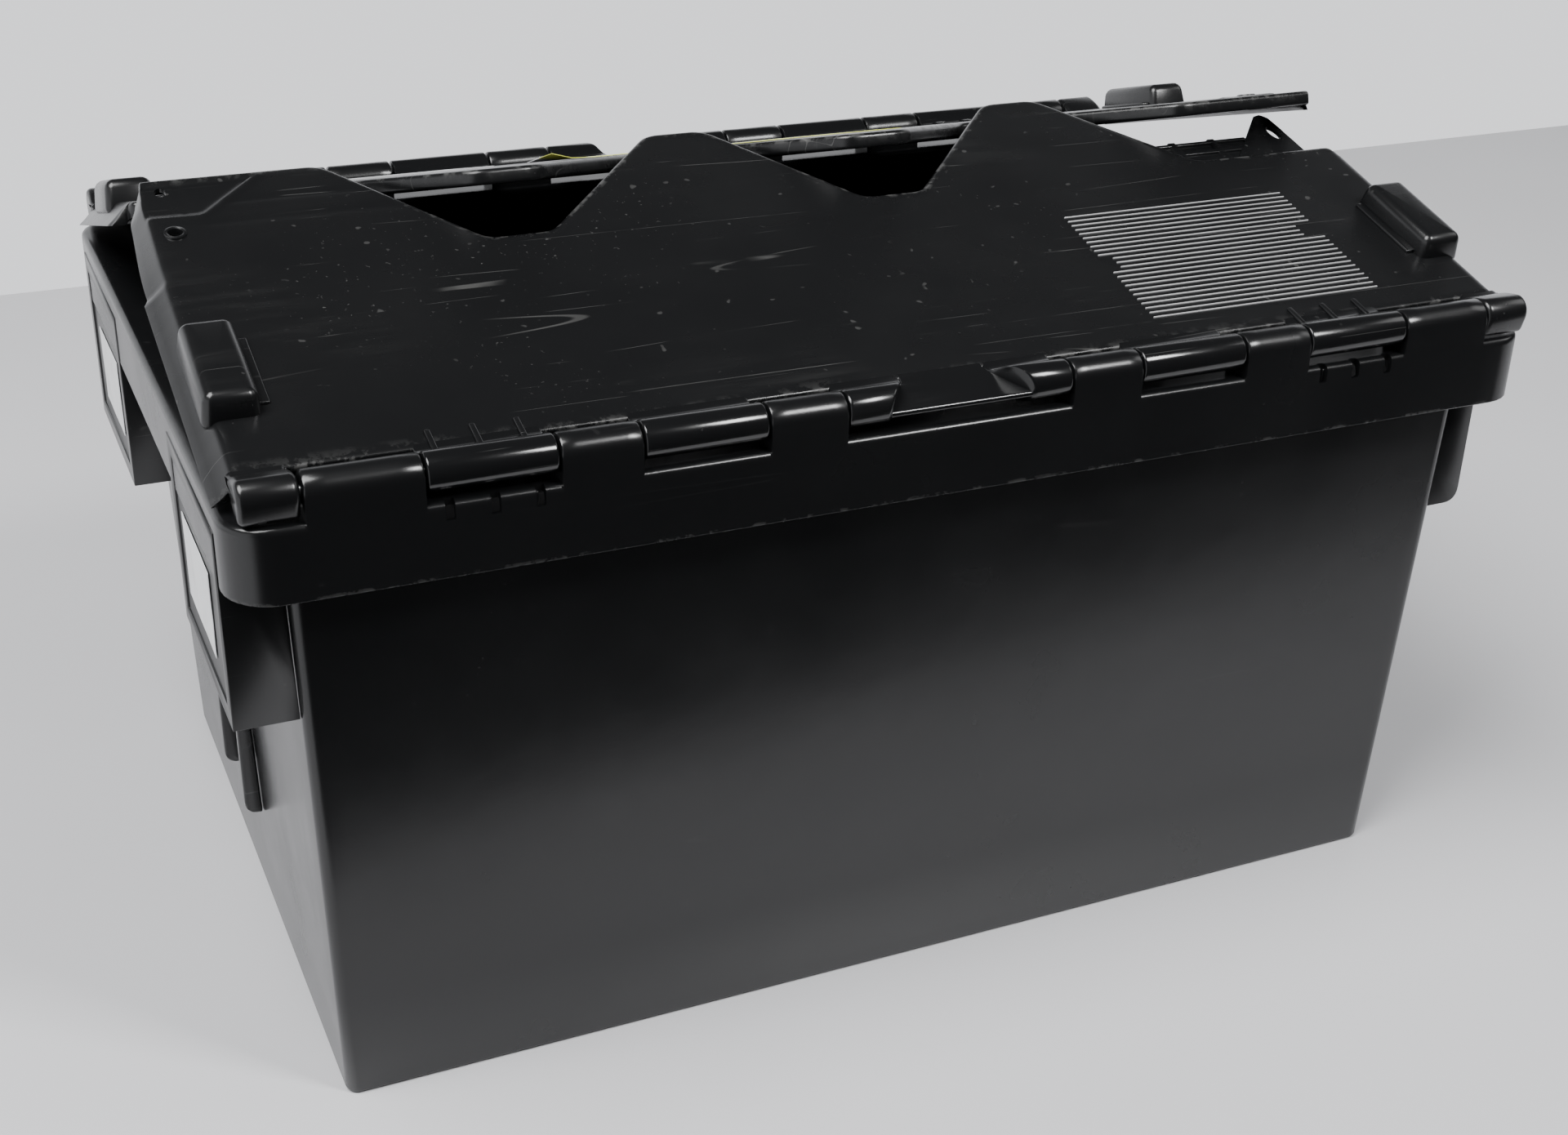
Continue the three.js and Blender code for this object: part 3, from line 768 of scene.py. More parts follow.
# ---------------------------------------------------------------- container moulding
@dataclass
class Container:
    """The tub and its rim, one surface from the base's middle out, round the rim and in to the floor."""

    measures: Measures
    hinge: HingeLine
    wall: float = 3.0
    floor: float = 3.5
    rim_skin: float = 2.5
    rim_corner: float = 20.0
    tub_corner: float = 6.0
    end_relief: float = 0.4
    knuckle_points: int = 14
    notch_width: float = 4.0
    notch_depth: float = 8.0
    rib_pitch: float = 62.0

    def columns(self) -> tuple[Array, Array, Array]:
        """Places round the rim, as a unit corner direction, a straight run and a knuckle share.

        Returns:
            Corner direction (n, 2), straight place (n, 2) as x or y where it is on a straight side and
            nan on the other axis, and how far each column rises as a knuckle, from 0 to 1.
        """
        m = self.measures
        flat = m.half_length - self.rim_corner
        xs, rise = [-flat], [0.0]
        for x0, x1 in self.hinge.rim_spans():
            edge = np.array([0.0, 0.06, 0.35, 1.1])
            share = np.array([0.0, 0.93, 0.975, 1.0])
            inner = np.linspace(x0, x1, 6)[1:-1]
            xs += [*(x0 + edge), *inner, *(x1 - edge)[::-1]]
            rise += [*share, *np.ones(len(inner)), *share[::-1]]
        xs.append(flat)
        rise.append(0.0)
        front_x, front_rise = np.array(xs), np.array(rise)
        ys = np.linspace(-(m.half_width - self.rim_corner), m.half_width - self.rim_corner, 16)
        arc = np.linspace(0, math.pi / 2, 8)[1:-1]
        direction, place, share = [], [], []

        def side(normal: tuple, run: Array, rises: Array, axis: int) -> None:
            """Adds one straight side."""
            spot = np.full((len(run), 2), np.nan)
            spot[:, axis] = run
            direction.append(np.tile(normal, (len(run), 1)))
            place.append(spot)
            share.append(rises)

        def corner(start: float) -> None:
            """Adds one corner arc from a start angle."""
            angles = start + arc
            direction.append(circle(angles))
            place.append(np.full((len(arc), 2), np.nan))
            share.append(np.zeros(len(arc)))

        side((0, -1), front_x, front_rise, 0)
        corner(-math.pi / 2)
        side((1, 0), ys, np.zeros(len(ys)), 1)
        corner(0)
        side((0, 1), front_x[::-1], front_rise[::-1], 0)
        corner(math.pi / 2)
        side((-1, 0), ys[::-1], np.zeros(len(ys)), 1)
        corner(math.pi)
        return np.concatenate(direction), np.concatenate(place), np.concatenate(share)

    def levels(self) -> tuple[Array, Array, Array]:
        """Half sizes, corner radius and height of every level, low and as a knuckle.

        Returns:
            Rows (half x, half y, corner radius, z) of the plain section, the same of the knuckle
            section, and the wear value of each level, which on the band's lower edge is a painted highlight.
        """
        m = self.measures
        rows: list[tuple] = []
        wear_and_sheen: list[float] = []

        def add(half: Array, radius: float, z: float, wear_and_highlight: float = 0.0) -> None:
            """Adds one level."""
            rows.append((half[0], half[1], max(radius, 0.3), z))
            wear_and_sheen.append(wear_and_highlight)

        for inset, z in ((60, 0), (4, 0), (1.6, 0.2), (0.5, 0.8), (0, 2.0)):
            add(m.wall(z) - inset, self.tub_corner - inset, z)
        top = m.rim_top - self.rim_skin
        for z in (50, 110, 170, 225, m.rim_bottom, top - 3):
            add(m.wall(z), self.tub_corner, z)
        add(m.wall(top) + 0.9, self.tub_corner + 1, top - 0.9)
        add(m.wall(top) + 3, self.tub_corner + 3, top)
        outer = np.array([m.half_length - self.end_relief, m.half_width])
        skin, r = self.rim_skin, self.rim_corner
        add(outer - skin - 3, r - skin - 3, top)
        add(outer - skin - 0.9, r - skin - 0.9, top - 0.9)
        add(outer - skin, r - skin, top - 3)
        add(outer - skin, r - skin, m.rim_bottom + 1)
        # The band's lower edge: its wear values lay light chips along it, a painted highlight on the burr.
        add(outer - skin + 0.6, r - skin + 0.6, m.rim_bottom + 0.1, 0.2)
        add(outer - 0.5, r - 0.5, m.rim_bottom, 0.45)
        add(outer, r, m.rim_bottom + 0.5, 0.45)
        add(outer, r, m.rim_bottom + 2.0)
        for z in (m.rim_bottom + 12, m.rim_top - 8, m.rim_top - 3.2):
            add(outer, r, z)
        low = [((0, 0), -3.0), ((0.25, 0), -1.7), ((0.9, 0), -0.75), ((1.9, 0), -0.2), ((3.0, 0), 0.0)]
        spare = np.linspace(4, 2 * self.hinge.radius, self.knuckle_points + 2)
        low += [((d, 0), 0.0) for d in spare]
        high_start = len(rows)
        for (inset, _), drop in low:
            add(outer - inset, r - inset, m.rim_top + drop)
        high_rows = list(rows)
        rise = m.hinge_z - m.rim_top
        angle = np.linspace(math.pi, 0, self.knuckle_points + 1)
        high = [(0.0, -3.0), (0.0, rise * 0.3), (0.0, rise * 0.7)]
        radius = self.hinge.radius
        high += [(radius + radius * math.cos(a), rise + radius * math.sin(a)) for a in angle]
        high += [(2 * radius, rise * 0.5), (2 * radius, 0.6), (2 * radius + 0.4, 0.0)]
        for number, (inset, up) in enumerate(high):
            high_rows[high_start + number] = (
                outer[0] - inset,
                outer[1] - inset,
                max(r - inset, 0.3),
                m.rim_top + up,
            )
        for inset, drop in ((-2.2, 0.0), (-0.7, -0.35), (-0.1, -1.2), (0.0, -3.0)):
            row = (m.wall(m.rim_top) - self.wall - inset, self.tub_corner - self.wall - inset)
            add(*row, m.rim_top + drop)
            high_rows.append(rows[-1])
        for z in (225, 170, 110, 50, self.floor + 6):
            add(m.wall(z) - self.wall, self.tub_corner - self.wall, z)
            high_rows.append(rows[-1])
        for inset, up in ((0.6, 2.6), (2.2, 0.8), (6, 0), (60, 0)):
            add(m.wall(self.floor) - self.wall - inset, self.tub_corner - inset, self.floor + up)
            high_rows.append(rows[-1])
        return np.array(rows), np.array(high_rows), np.array(wear_and_sheen)

    def surface(self) -> tuple[Array, list, Array]:
        """Points, faces and wear values of the whole moulding, which on the band's lower edge paint a
        highlight.

        A level's ring is its corner middle plus its radius times the column's direction; on a straight
        side the ring keeps the column's own place, drawn in where the level is too short for it.
        Between plain and knuckle section a point moves straight by the column's share.
        """
        direction, place, share = self.columns()
        low, high, wear_and_sheen = self.levels()

        def rings(rows: Array) -> Array:
            """Points (levels, columns, 3) of a section."""
            flat = rows[:, None, :2] - rows[:, None, 2:3]
            ring = np.sign(np.round(direction, 6))[None] * flat + direction[None] * rows[:, None, 2:3]
            straight = ~np.isnan(place)[None]
            own = np.clip(np.nan_to_num(place)[None], -flat, flat)
            ring = np.where(np.broadcast_to(straight, ring.shape), own, ring)
            height = np.broadcast_to(rows[:, None, 3:4], (*ring.shape[:2], 1))
            return np.concatenate([ring, height], -1)

        plain, raised = rings(low), rings(high)
        points = plain + (raised - plain) * share[None, :, None]
        count = len(direction)
        levels = len(low)
        solid, faces = swept_solid(points)
        solid[-2, :2] = 0
        solid[-1, :2] = 0
        wear_and_highlight = np.concatenate([np.repeat(wear_and_sheen, count), [0, 0]])
        LOG.info("container grid %d levels by %d columns", levels, count)
        return solid, faces, wear_and_highlight

    def cut_notches(self, obj: bpy.types.Object) -> None:
        """Cuts the drain notches under the outer barrels out of the band's top edge.

        Args:
            obj: The container piece.
        """
        m = self.measures
        cutters = []
        for y in (-m.half_width, m.half_width):
            for x in self.hinge.rib_places():
                half = self.notch_width / 2
                heights = (m.rim_top - self.notch_depth, m.rim_top + 4)
                cutters.append(span_block((x - half, x + half), (y - 4.5, y + 4.5), heights, 0.8))
        cut_away(obj, "notches", *joined(cutters))

    def channel_ribs(self) -> tuple[Array, list]:
        """Thin upright ribs that stiffen the rim channel from below, at an even pitch."""
        m = self.measures
        ribs = []
        heights = (m.rim_bottom + 6, m.rim_top - self.rim_skin + 0.5)
        inner = m.wall(m.rim_bottom)[1] - 1
        outer = m.half_width - self.rim_skin + 0.5
        for number in range(-4, 5):
            x = number * self.rib_pitch
            for side in (-1, 1):
                ribs.append(span_block((x - 1, x + 1), (side * inner, side * outer), heights, 0.4))
        return joined(ribs)

    def build(self, finishes: Finishes) -> None:
        """Makes the moulding and its channel ribs and dresses them."""
        points, faces, wear_and_sheen = self.surface()
        shell = mesh_object("container_moulding", points, faces, wear_and_sheen)
        self.cut_notches(shell)
        nodes = ("tub_shell", "rim_front", "rim_back", "rim_left", "rim_right")
        dress(shell, finishes.container, "container", nodes)
        ribs = mesh_object("rim_channel_ribs", *self.channel_ribs())
        dress(ribs, finishes.container, "container")


@dataclass
class EndFittings:
    """Label housings and stacking fins of both ends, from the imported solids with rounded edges."""

    housing_edge: float = 0.9
    fin_edge: float = 1.4

    def rounded_copy(self, node: str, name: str, edge: float) -> bpy.types.Object:
        """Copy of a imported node, merged, with flat faces joined and its edges bevelled.

        Args:
            node: The CAD node.
            name: Name of the new piece.
            edge: Bevel width in millimetres.

        Returns:
            The new object.
        """
        obj = linked(name, bpy.data.objects[node].data.copy())
        tidy_mesh(obj.data, join_flat=True)
        bevel = obj.modifiers.new("edge", "BEVEL")
        bevel.width = edge * MM
        bevel.segments = 3
        bevel.limit_method = "ANGLE"
        bevel.angle_limit = BEVEL_ANGLE
        bevel.harden_normals = True
        apply_modifiers(obj)
        obj.data.attributes.new("wear_and_sheen", "FLOAT", "POINT")
        return obj

    def build(self, finishes: Finishes) -> None:
        """Makes the four housings and four fins and dresses them."""
        for end in ("left", "right"):
            for side in ("front", "back"):
                for kind, name, edge in (
                    ("label_housing", "housing", self.housing_edge),
                    ("stacking_fin", "fin", self.fin_edge),
                ):
                    node = f"{kind}_{end}_{side}"
                    fitting = self.rounded_copy(node, f"{name}_{end}_{side}", edge)
                    dress(fitting, finishes.housing, "container", (node,))


# ---------------------------------------------------------------- lids
@dataclass
class Lid:
    """One half lid, worked out closed with the hinge axis on X and turned into place."""

    measures: Measures
    hinge: HingeLine
    side: Side
    end_inset: float = 9.0
    reach_swing: float = 36.0
    parting: float = 5.0
    thick: float = 3.0
    lip: float = 4.0
    start: float = 14.5
    skirt_gap: float = 0.7
    tip_radius: float = 15.0
    root_radius: float = 11.0
    end_radius: float = 6.0
    zigzag: tuple = (0.0926, 0.1936, 0.4276, 0.527, 0.7205)
    column_pitch: float = 2.0
    top_rows: int = 112
    bump_low: tuple = (20.0, 47.0)
    bump_length: float = 56.0
    bump_height: float = 11.0
    notch_half: float = 20.0
    notch_slant: float = 14.0
    round_hole_inset: float = 45.0
    oval_hole_inset: float = 10.0

    @property
    def half(self) -> float:
        """Half length of the panel."""
        return self.measures.half_length - self.end_inset

    @property
    def tip(self) -> float:
        """Hinge axis to the tooth tips."""
        return self.measures.hinge_y + self.reach_swing - self.parting / 2

    @property
    def root(self) -> float:
        """Hinge axis to the valleys."""
        return self.measures.hinge_y - self.reach_swing - self.parting / 2

    @property
    def drop(self) -> float:
        """Panel top to the foot of the end skirts."""
        return self.measures.hinge_z - self.measures.rim_top - self.skirt_gap

    @property
    def label(self) -> str:
        """Name of this lid's body and node."""
        return "front_lid" if self.side is Side.FRONT else "back_lid"

    def placed(self, points: Array) -> Array:
        """Turns closed points (x, reach, height) to the open lid in the row frame.

        Args:
            points: Points in the closed lid's own axes.

        Returns:
            Points in millimetres in the row frame.
        """
        angle = self.measures.open_angle[self.side]
        x, reach, up = points.T
        along = reach * math.cos(angle) - up * math.sin(angle)
        height = reach * math.sin(angle) + up * math.cos(angle) + self.measures.hinge_z
        y = along - self.measures.hinge_y
        if self.side is Side.BACK:
            x, y = -x, -y
        return np.column_stack([x, y, height])

    def piece(
        self,
        name: str,
        part: tuple,
        finish: bpy.types.Material,
        wear_and_sheen: Array | None = None,
        nodes: tuple = (),
    ) -> bpy.types.Object:
        """Makes a piece from closed lid points, and dresses it.

        Args:
            name: Name of the piece, without the lid's.
            part: Points and faces.
            finish: Its material.
            wear_and_sheen: Wear of each vertex.
            nodes: CAD nodes it replaces.

        Returns:
            The piece.
        """
        points, faces = part
        obj = mesh_object(f"{self.label}_{name}", self.placed(points), faces, wear_and_sheen)
        dress(obj, finish, self.label, nodes)
        return obj

    def edge_line(self) -> Array:
        """Free edge as dense points (x, reach), straight runs joined by quadratic arcs at the corners."""
        outward = np.array(self.zigzag) * self.half
        xs = np.concatenate([-outward[::-1], outward])
        corners = [(-self.half, self.tip, self.end_radius)]
        for number, x in enumerate(xs):
            at_tip = (number // 2 % 2 == 0) == (number % 2 == 0)
            corners.append((x, self.tip, self.tip_radius) if at_tip else (x, self.root, self.root_radius))
        corners.append((self.half, self.root, self.end_radius))
        beyond = self.root - 40
        points = np.array([(-self.half, beyond), *(c[:2] for c in corners), (self.half, beyond)])
        pieces = []
        t = np.linspace(0, 1, 17)[:, None]
        for number, (_, _, radius) in enumerate(corners, start=1):
            before, here, after = points[number - 1 : number + 2]
            back, ahead = before - here, after - here
            cosine = back @ ahead / np.linalg.norm(back) / np.linalg.norm(ahead)
            cut = radius / math.tan(math.acos(np.clip(cosine, -1, 1)) / 2)
            a = here + back / np.linalg.norm(back) * cut
            b = here + ahead / np.linalg.norm(ahead) * cut
            pieces.append((1 - t) ** 2 * a + 2 * t * (1 - t) * here + t**2 * b)
        line = np.concatenate(pieces)
        steps = np.concatenate([[0], np.cumsum(np.linalg.norm(np.diff(line, axis=0), axis=1))])
        even = np.arange(0, steps[-1], 0.5)
        return np.column_stack([np.interp(even, steps, line[:, axis]) for axis in (0, 1)])

    def edge_reach(self, x: Array, inset: float) -> Array:
        """Reach of the free edge at x, with the edge moved in along its normals by an inset.

        Args:
            x: Places along the lid.
            inset: How far the edge is moved in.

        Returns:
            Reach at each place.
        """
        line = self.edge_line()
        tangent = np.gradient(line, axis=0)
        normal = np.column_stack([-tangent[:, 1], tangent[:, 0]])
        normal /= np.linalg.norm(normal, axis=1, keepdims=True)
        moved = line - normal * inset
        order = np.maximum.accumulate(moved[:, 0])
        return np.interp(x, order, moved[:, 1])

    def relief(self, x: Array, reach: Array) -> Array:
        """Height of the moulded detail on the panel's top.

        A low step across the wide tooth, a seam in its corner, two shallow sinks along the length and a
        slow unevenness of the whole panel.

        Args:
            x: Place along the lid.
            reach: Distance from the hinge axis.

        Returns:
            Height in millimetres.
        """
        line = np.interp(x, (-self.half, -272, -243, -200), (194, 193.5, 222, 262))
        off = reach - line
        step = -1.1 * smooth_step(off, 0, 2.6) * smooth_step(-x, 200, 215)
        ridge = 0.5 * np.exp(-((off + 1.5) ** 2) / 4) * smooth_step(-x, 225, 240)
        seam = -0.5 * np.exp(-((x + 278.5) ** 2) / 1.2) * smooth_step(off, 0, 3)
        tooth = smooth_step(-x, 150, 190) * (1 - smooth_step(-x, 268, 276))
        sinks = -0.35 * np.exp(-((reach - 202) ** 2) / 3) * tooth * (1 - smooth_step(off, -4, 0))
        sinks += -0.3 * np.exp(-((reach - 186) ** 2) / 4) * tooth
        swell = 0.18 * np.sin(x / 47 + 0.6) * np.sin(reach / 38 + 1.1) + 0.07 * np.sin(x / 13 + reach / 29)
        fade = smooth_step(reach, 18, 40)
        return step + ridge + seam + sinks + swell * fade

    def flared(self, x: Array, reach: Array) -> Array:
        """Moves the end skirts in towards the tooth tips.

        Past the panel's end the distance is kept whole up to a shoulder, then shrinks by a step and a
        slow fall; the same share moves the shoulder line on the panel beside it.

        Args:
            x: Place along the lid.
            reach: Distance from the hinge axis.

        Returns:
            The moved place along the lid.
        """
        past = np.abs(x) - (self.half - 4)
        fall = 0.14 * smooth_step(reach, 143.5, 147) + 0.3 * smooth_step(reach, 150, 222)
        corner = 0.3 * smooth_step(reach, self.tip - 22, self.tip - 4)
        share = 1 - np.where(x < 0, fall + corner, fall)
        return np.where(past > 0, np.sign(x) * (self.half - 4 + past * share), x)

    def panel(self) -> tuple[Array, list, Array]:
        """Panel, lip and end skirts as one closed surface.

        Stations run along the lid and past each end down the flared skirt. A station's loop goes out
        over the top to the free edge, round it and down the lip, up behind the lip and back under the
        panel. The last stations are closed by joining the top run to the underside run.

        Returns:
            Points, faces and wear.
        """
        half, drop, flare = self.half, self.drop, self.end_inset
        across = np.arange(-(half - 6), half - 5.9, self.column_pitch)
        foot_dx, foot_h = np.array([0.35, 0.05, 0.25]), np.array([0.5, 0.15, 0.0])
        top_dx = np.append([-4.0, -2.4, -1.2, -0.2, 0.7, 1.4, 3.2, 6.0], flare - foot_dx)
        top_h = np.append([0.0, -0.1, -0.42, -1.0, -1.8, -2.6, -4.4, -7.2], foot_h - drop)
        foot_dx, foot_h = np.array([3.3, 2.6, 2.2]), np.array([3.4, 3.05, 3.0])
        low_dx = np.append([-7.0, -5.6, -4.6, -3.8, -3.2, -2.4, -0.4, 2.4], flare - foot_dx)
        low_h = np.append([0.0, -0.05, -0.2, -0.6, -1.2, -2.0, -3.8, -5.6], foot_h - drop)
        top_x = np.concatenate([-(half + top_dx)[::-1], across, half + top_dx])
        low_x = np.concatenate([-(half + low_dx)[::-1], across, half + low_dx])
        flat = np.zeros(len(across))
        top_up = np.concatenate([top_h[::-1], flat, top_h])
        low_up = np.concatenate([low_h[::-1], flat, low_h]) - self.thick
        edge = np.array([3.0, 2.0, 1.2, 0.55, 0.15, 0.0, 0.0, 0.15, 0.6, 1.3])
        edge_h = np.array([0.0, -0.05, -0.3, -0.75, -1.4, -2.2, -5.4, -6.3, -6.85, -7.0])
        inner = np.array([1.9, 2.35, 2.6, 2.6, 2.9, 3.8])
        inner_h = np.array([-6.9, -6.5, -5.8, -4.2, -3.4, -3.0]) + self.thick
        rows = self.top_rows
        under_rows = rows + len(edge) - len(inner)
        start = np.where(np.abs(top_x) > half + 0.5, 9.0, self.start)
        share = np.linspace(0, 1, rows)[None, :]
        first = self.edge_reach(top_x, edge[0])[:, None]
        top_r = start[:, None] + (first - start[:, None]) * share
        hinge_edge = np.array([0.0, 0.25, 0.9, 1.8])
        top_r[:, :4] = start[:, None] + hinge_edge
        hinge_h = np.array([-1.6, -0.7, -0.15, 0.0])
        top = stations_of(top_x, top_r, top_up[:, None])
        inside = smooth_step(half - np.abs(top[..., 0]), -1, 2)
        top[..., 2] += self.relief(top[..., 0], top[..., 1]) * inside * smooth_step(first - top_r, 0, 2)
        top[:, :4, 2] += hinge_h * smooth_step(half - np.abs(top_x), -2, 0)[:, None]
        foot = -drop
        scale = np.clip((top_up - foot) / (self.thick + self.lip), 0.02, 1)[:, None]
        rim_r = np.stack([self.edge_reach(top_x, d) for d in edge], 1)
        rim = stations_of(top_x, rim_r, top_up[:, None] + edge_h * scale)
        gap = (low_up + self.thick - top_up)[:, None]
        lip_r = np.stack([self.edge_reach(low_x, d) for d in inner], 1)
        lip_h = np.maximum(low_up[:, None] + (inner_h - gap) * scale, foot + (inner_h + 4) * 0.02)
        lip = stations_of(low_x, lip_r, lip_h)
        last = self.edge_reach(low_x, inner[-1] + 0.4)[:, None]
        back = np.linspace(1, 0, under_rows)[None, :]
        low_r = start[:, None] + (last - start[:, None]) * back
        low_r[:, -1] += 0.3
        under = stations_of(low_x, low_r, low_up[:, None])
        loops = np.concatenate([top, rim, lip, under], 1)
        loops[..., 0] = self.flared(loops[..., 0], loops[..., 1])
        stations, count = loops.shape[:2]
        faces = grid_faces(stations, count, wrap_columns=True)
        run = np.arange(rows + len(edge) - 1)
        for base in (0, (stations - 1) * count):
            quads = np.stack([run, run + 1, count - 2 - run, count - 1 - run], -1)
            faces += (quads + base).tolist()
        wear_and_sheen = np.zeros((stations, count))
        wear_and_sheen[:, rows : rows + 6] = (0.2, 0.45, 0.55, 0.4, 0.2, 0.1)
        wear_and_sheen[:, :4] = (0.4, 0.5, 0.35, 0.15)
        return loops.reshape(-1, 3), faces, wear_and_sheen.reshape(-1)

    def barrel_section(self) -> tuple[Array, Array]:
        """Sections (reach, height) of the barrel with its arm, and of the flat tongue in the notch.

        The barrel is a circle about the hinge axis, opened where the arm joins it; the tongue is the
        panel carried on to a rounded front edge. Both have the same count of points.

        Returns:
            Barrel section and tongue section.
        """
        radius, thick = self.hinge.radius, self.thick
        angle = np.linspace(0.62, 2 * math.pi - math.asin(thick / radius) - 0.03, 40)
        round_part = circle(angle, radius, radius)
        fillet = np.array([(11.5, 0.45), (9.4, 1.6), (7.9, 3.1)])
        arm = np.array([(self.start + 3, -thick + 0.1), (self.start + 3, 0.0), (self.start - 0.5, 0.02)])
        barrel = np.concatenate([arm, fillet, round_part])
        front = -radius + 0.6
        nose = np.linspace(math.pi / 2, 3 * math.pi / 2, 16)
        half_thick = thick / 2
        round_nose = circle(nose, half_thick, half_thick) + (front + half_thick, -half_thick)
        over = np.column_stack([np.linspace(11.5, front + half_thick + 0.5, 15), np.zeros(15)])
        under = np.column_stack([np.linspace(front + half_thick + 0.5, 7.4, 12), np.full(12, -thick)])
        tongue = np.concatenate([arm, over, round_nose, under])
        return barrel, tongue

    def barrels(self) -> tuple[Array, list]:
        """The barrels beside the middle one."""
        section, _ = self.barrel_section()
        return joined([bar_along_x(section, x0, x1, 1.1) for x0, x1 in self.hinge.barrel_spans()])

    def middle_barrel(self) -> tuple[Array, list]:
        """Middle barrel with the thumb notch, whose walls slant out towards the front.

        Stations at the notch lean along X by the slant times how far a point is towards the front.
        """
        barrel, tongue = self.barrel_section()
        end = self.hinge.steps[0] - self.hinge.gap
        notch, slant = self.notch_half, self.notch_slant
        outer = [(end, 0, barrel, 1.1), (end - 0.1, 0, barrel, 0.5), (end - 0.5, 0, barrel, 0.15)]
        outer += [(end - 1.2, 0, barrel, 0.0), (notch + 1.2, 1, barrel, 0.0), (notch + 0.3, 1, barrel, 0.25)]
        outer += [(notch, 1, barrel, 0.7), (notch - 0.4, 1, tongue, 0.0), (notch * 0.5, 0.5, tongue, 0.0)]
        loops = []
        for sign in (-1, 1):
            stations = outer if sign < 0 else outer[::-1]
            for place, lean, section, inset in stations:
                shape = drawn_in(section, inset) if inset else section
                front = np.clip((self.start - 2 - shape[:, 0]) / (self.start - 2 + self.hinge.radius), 0, 1)
                x = sign * (place + lean * slant * front)
                loops.append(np.column_stack([x, shape]))
        return swept_solid(np.array(loops))

    def caps(self) -> tuple[Array, list]:
        """Corner caps over the rim corners, soft at every edge."""
        radius, rise = self.hinge.radius, self.measures.hinge_z - self.measures.rim_top
        foot = 2.3 - rise
        turn = np.linspace(math.pi / 2, math.pi, 9)
        arc = circle(turn, radius, radius)
        t = np.linspace(0, 1, 8)[:, None]
        slope = (1 - t) ** 2 * (13.5, 0.1) + 2 * t * (1 - t) * (8.0, 5.2) + t**2 * (0.4, radius)
        round_foot = np.array([(-8, foot + 3), (-7.7, foot + 1.5), (-6.6, foot + 0.4), (-5, foot)])
        rear = np.array([(3, foot), (5, foot + 1.5), (self.start + 2, -2.9), (self.start + 2, -0.02)])
        section = np.concatenate([slope, arc[1:], round_foot, rear])
        span = (self.hinge.cap_end - self.hinge.cap_width, self.hinge.cap_end - 0.6)
        right = bar_along_x(section, *span, 2.6)
        left = bar_along_x(section, -span[1], -span[0], 2.6)
        return joined([left, right])

    def bumps(self) -> tuple[Array, list]:
        """Stacking blocks near both hinge ends, with a thin flange on the inner side."""
        width, start = self.bump_low
        parts = []
        for sign in (-1, 1):
            inner = self.half - width
            ends = (sign * (self.half + 4.6), sign * inner)
            reach = (start, start + self.bump_length)
            parts.append(span_block(ends, reach, (-6.0, self.bump_height), 4.2, draft=1.8))
            flange = (sign * (inner + 4), sign * (inner - 3.4))
            parts.append(span_block(flange, (reach[0] + 7, reach[1] - 5), (-1.5, 1.5), 0.9))
        return joined(parts)

    def small_ribs(self) -> tuple[Array, list]:
        """Three small ribs above each outer barrel."""
        places = self.hinge.rib_places()
        return joined([span_block((x - 1.3, x + 1.3), (9.5, 24), (-1.0, 1.3), 0.8) for x in places])

    def grip_ribs(self) -> tuple[Array, list]:
        """Field of fine parallel ribs near one end, all of one pitch, with uneven ends."""
        count, pitch, low = 24, 3.68, 31.5
        ribs = []
        for number in range(count):
            reach = low + pitch * number
            left = 116.0 + (6.0 if 11 <= number <= 13 else 0.0)
            right = 240.0 - (10.0 if 13 <= number <= 15 else 0.0)
            ribs.append(span_block((left, right), (reach - 0.36, reach + 0.36), (-0.6, 0.6), 0.3))
        return joined(ribs)

    def hole_middle(self, inset: float) -> Array:
        """Middle (x, reach) of a seal hole that lies an inset behind the tooth tip."""
        return np.array([-self.half + 11, self.tip - inset])

    def seal_ring(self) -> tuple[Array, list]:
        """Collar round the seal hole, a ring of half circle section, and the sleeve below it."""
        turn = np.linspace(0, 2 * math.pi, 40, endpoint=False)
        profile = (
            (3.0, -6), (3.0, 0.2), (3.25, 0.75), (3.9, 1.0), (4.7, 0.75), (5.0, 0.1), (5.2, -6),
        )
        middle = self.hole_middle(self.round_hole_inset)
        loops = np.array([at_height(middle + radius * circle(turn), height) for radius, height in profile])
        faces = grid_faces(len(profile), len(turn), wrap_rows=True, wrap_columns=True)
        return loops.reshape(-1, 3), faces

    def cut_holes(self, obj: bpy.types.Object) -> None:
        """Cuts the two seal holes through the wide tooth.

        Args:
            obj: The lid's panel piece.
        """
        turn = np.linspace(0, 2 * math.pi, 32, endpoint=False)
        cutters = []
        for inset, stretch, radius in ((self.round_hole_inset, 1.0, 3.1), (self.oval_hole_inset, 1.5, 2.4)):
            ring = self.hole_middle(inset) + radius * circle(turn, 1.0, stretch)
            cutters.append(swept_solid(np.array([at_height(ring, z) for z in (-6.0, 6.0)])))
        points, faces = joined(cutters)
        cut_away(obj, "holes", self.placed(points), faces)

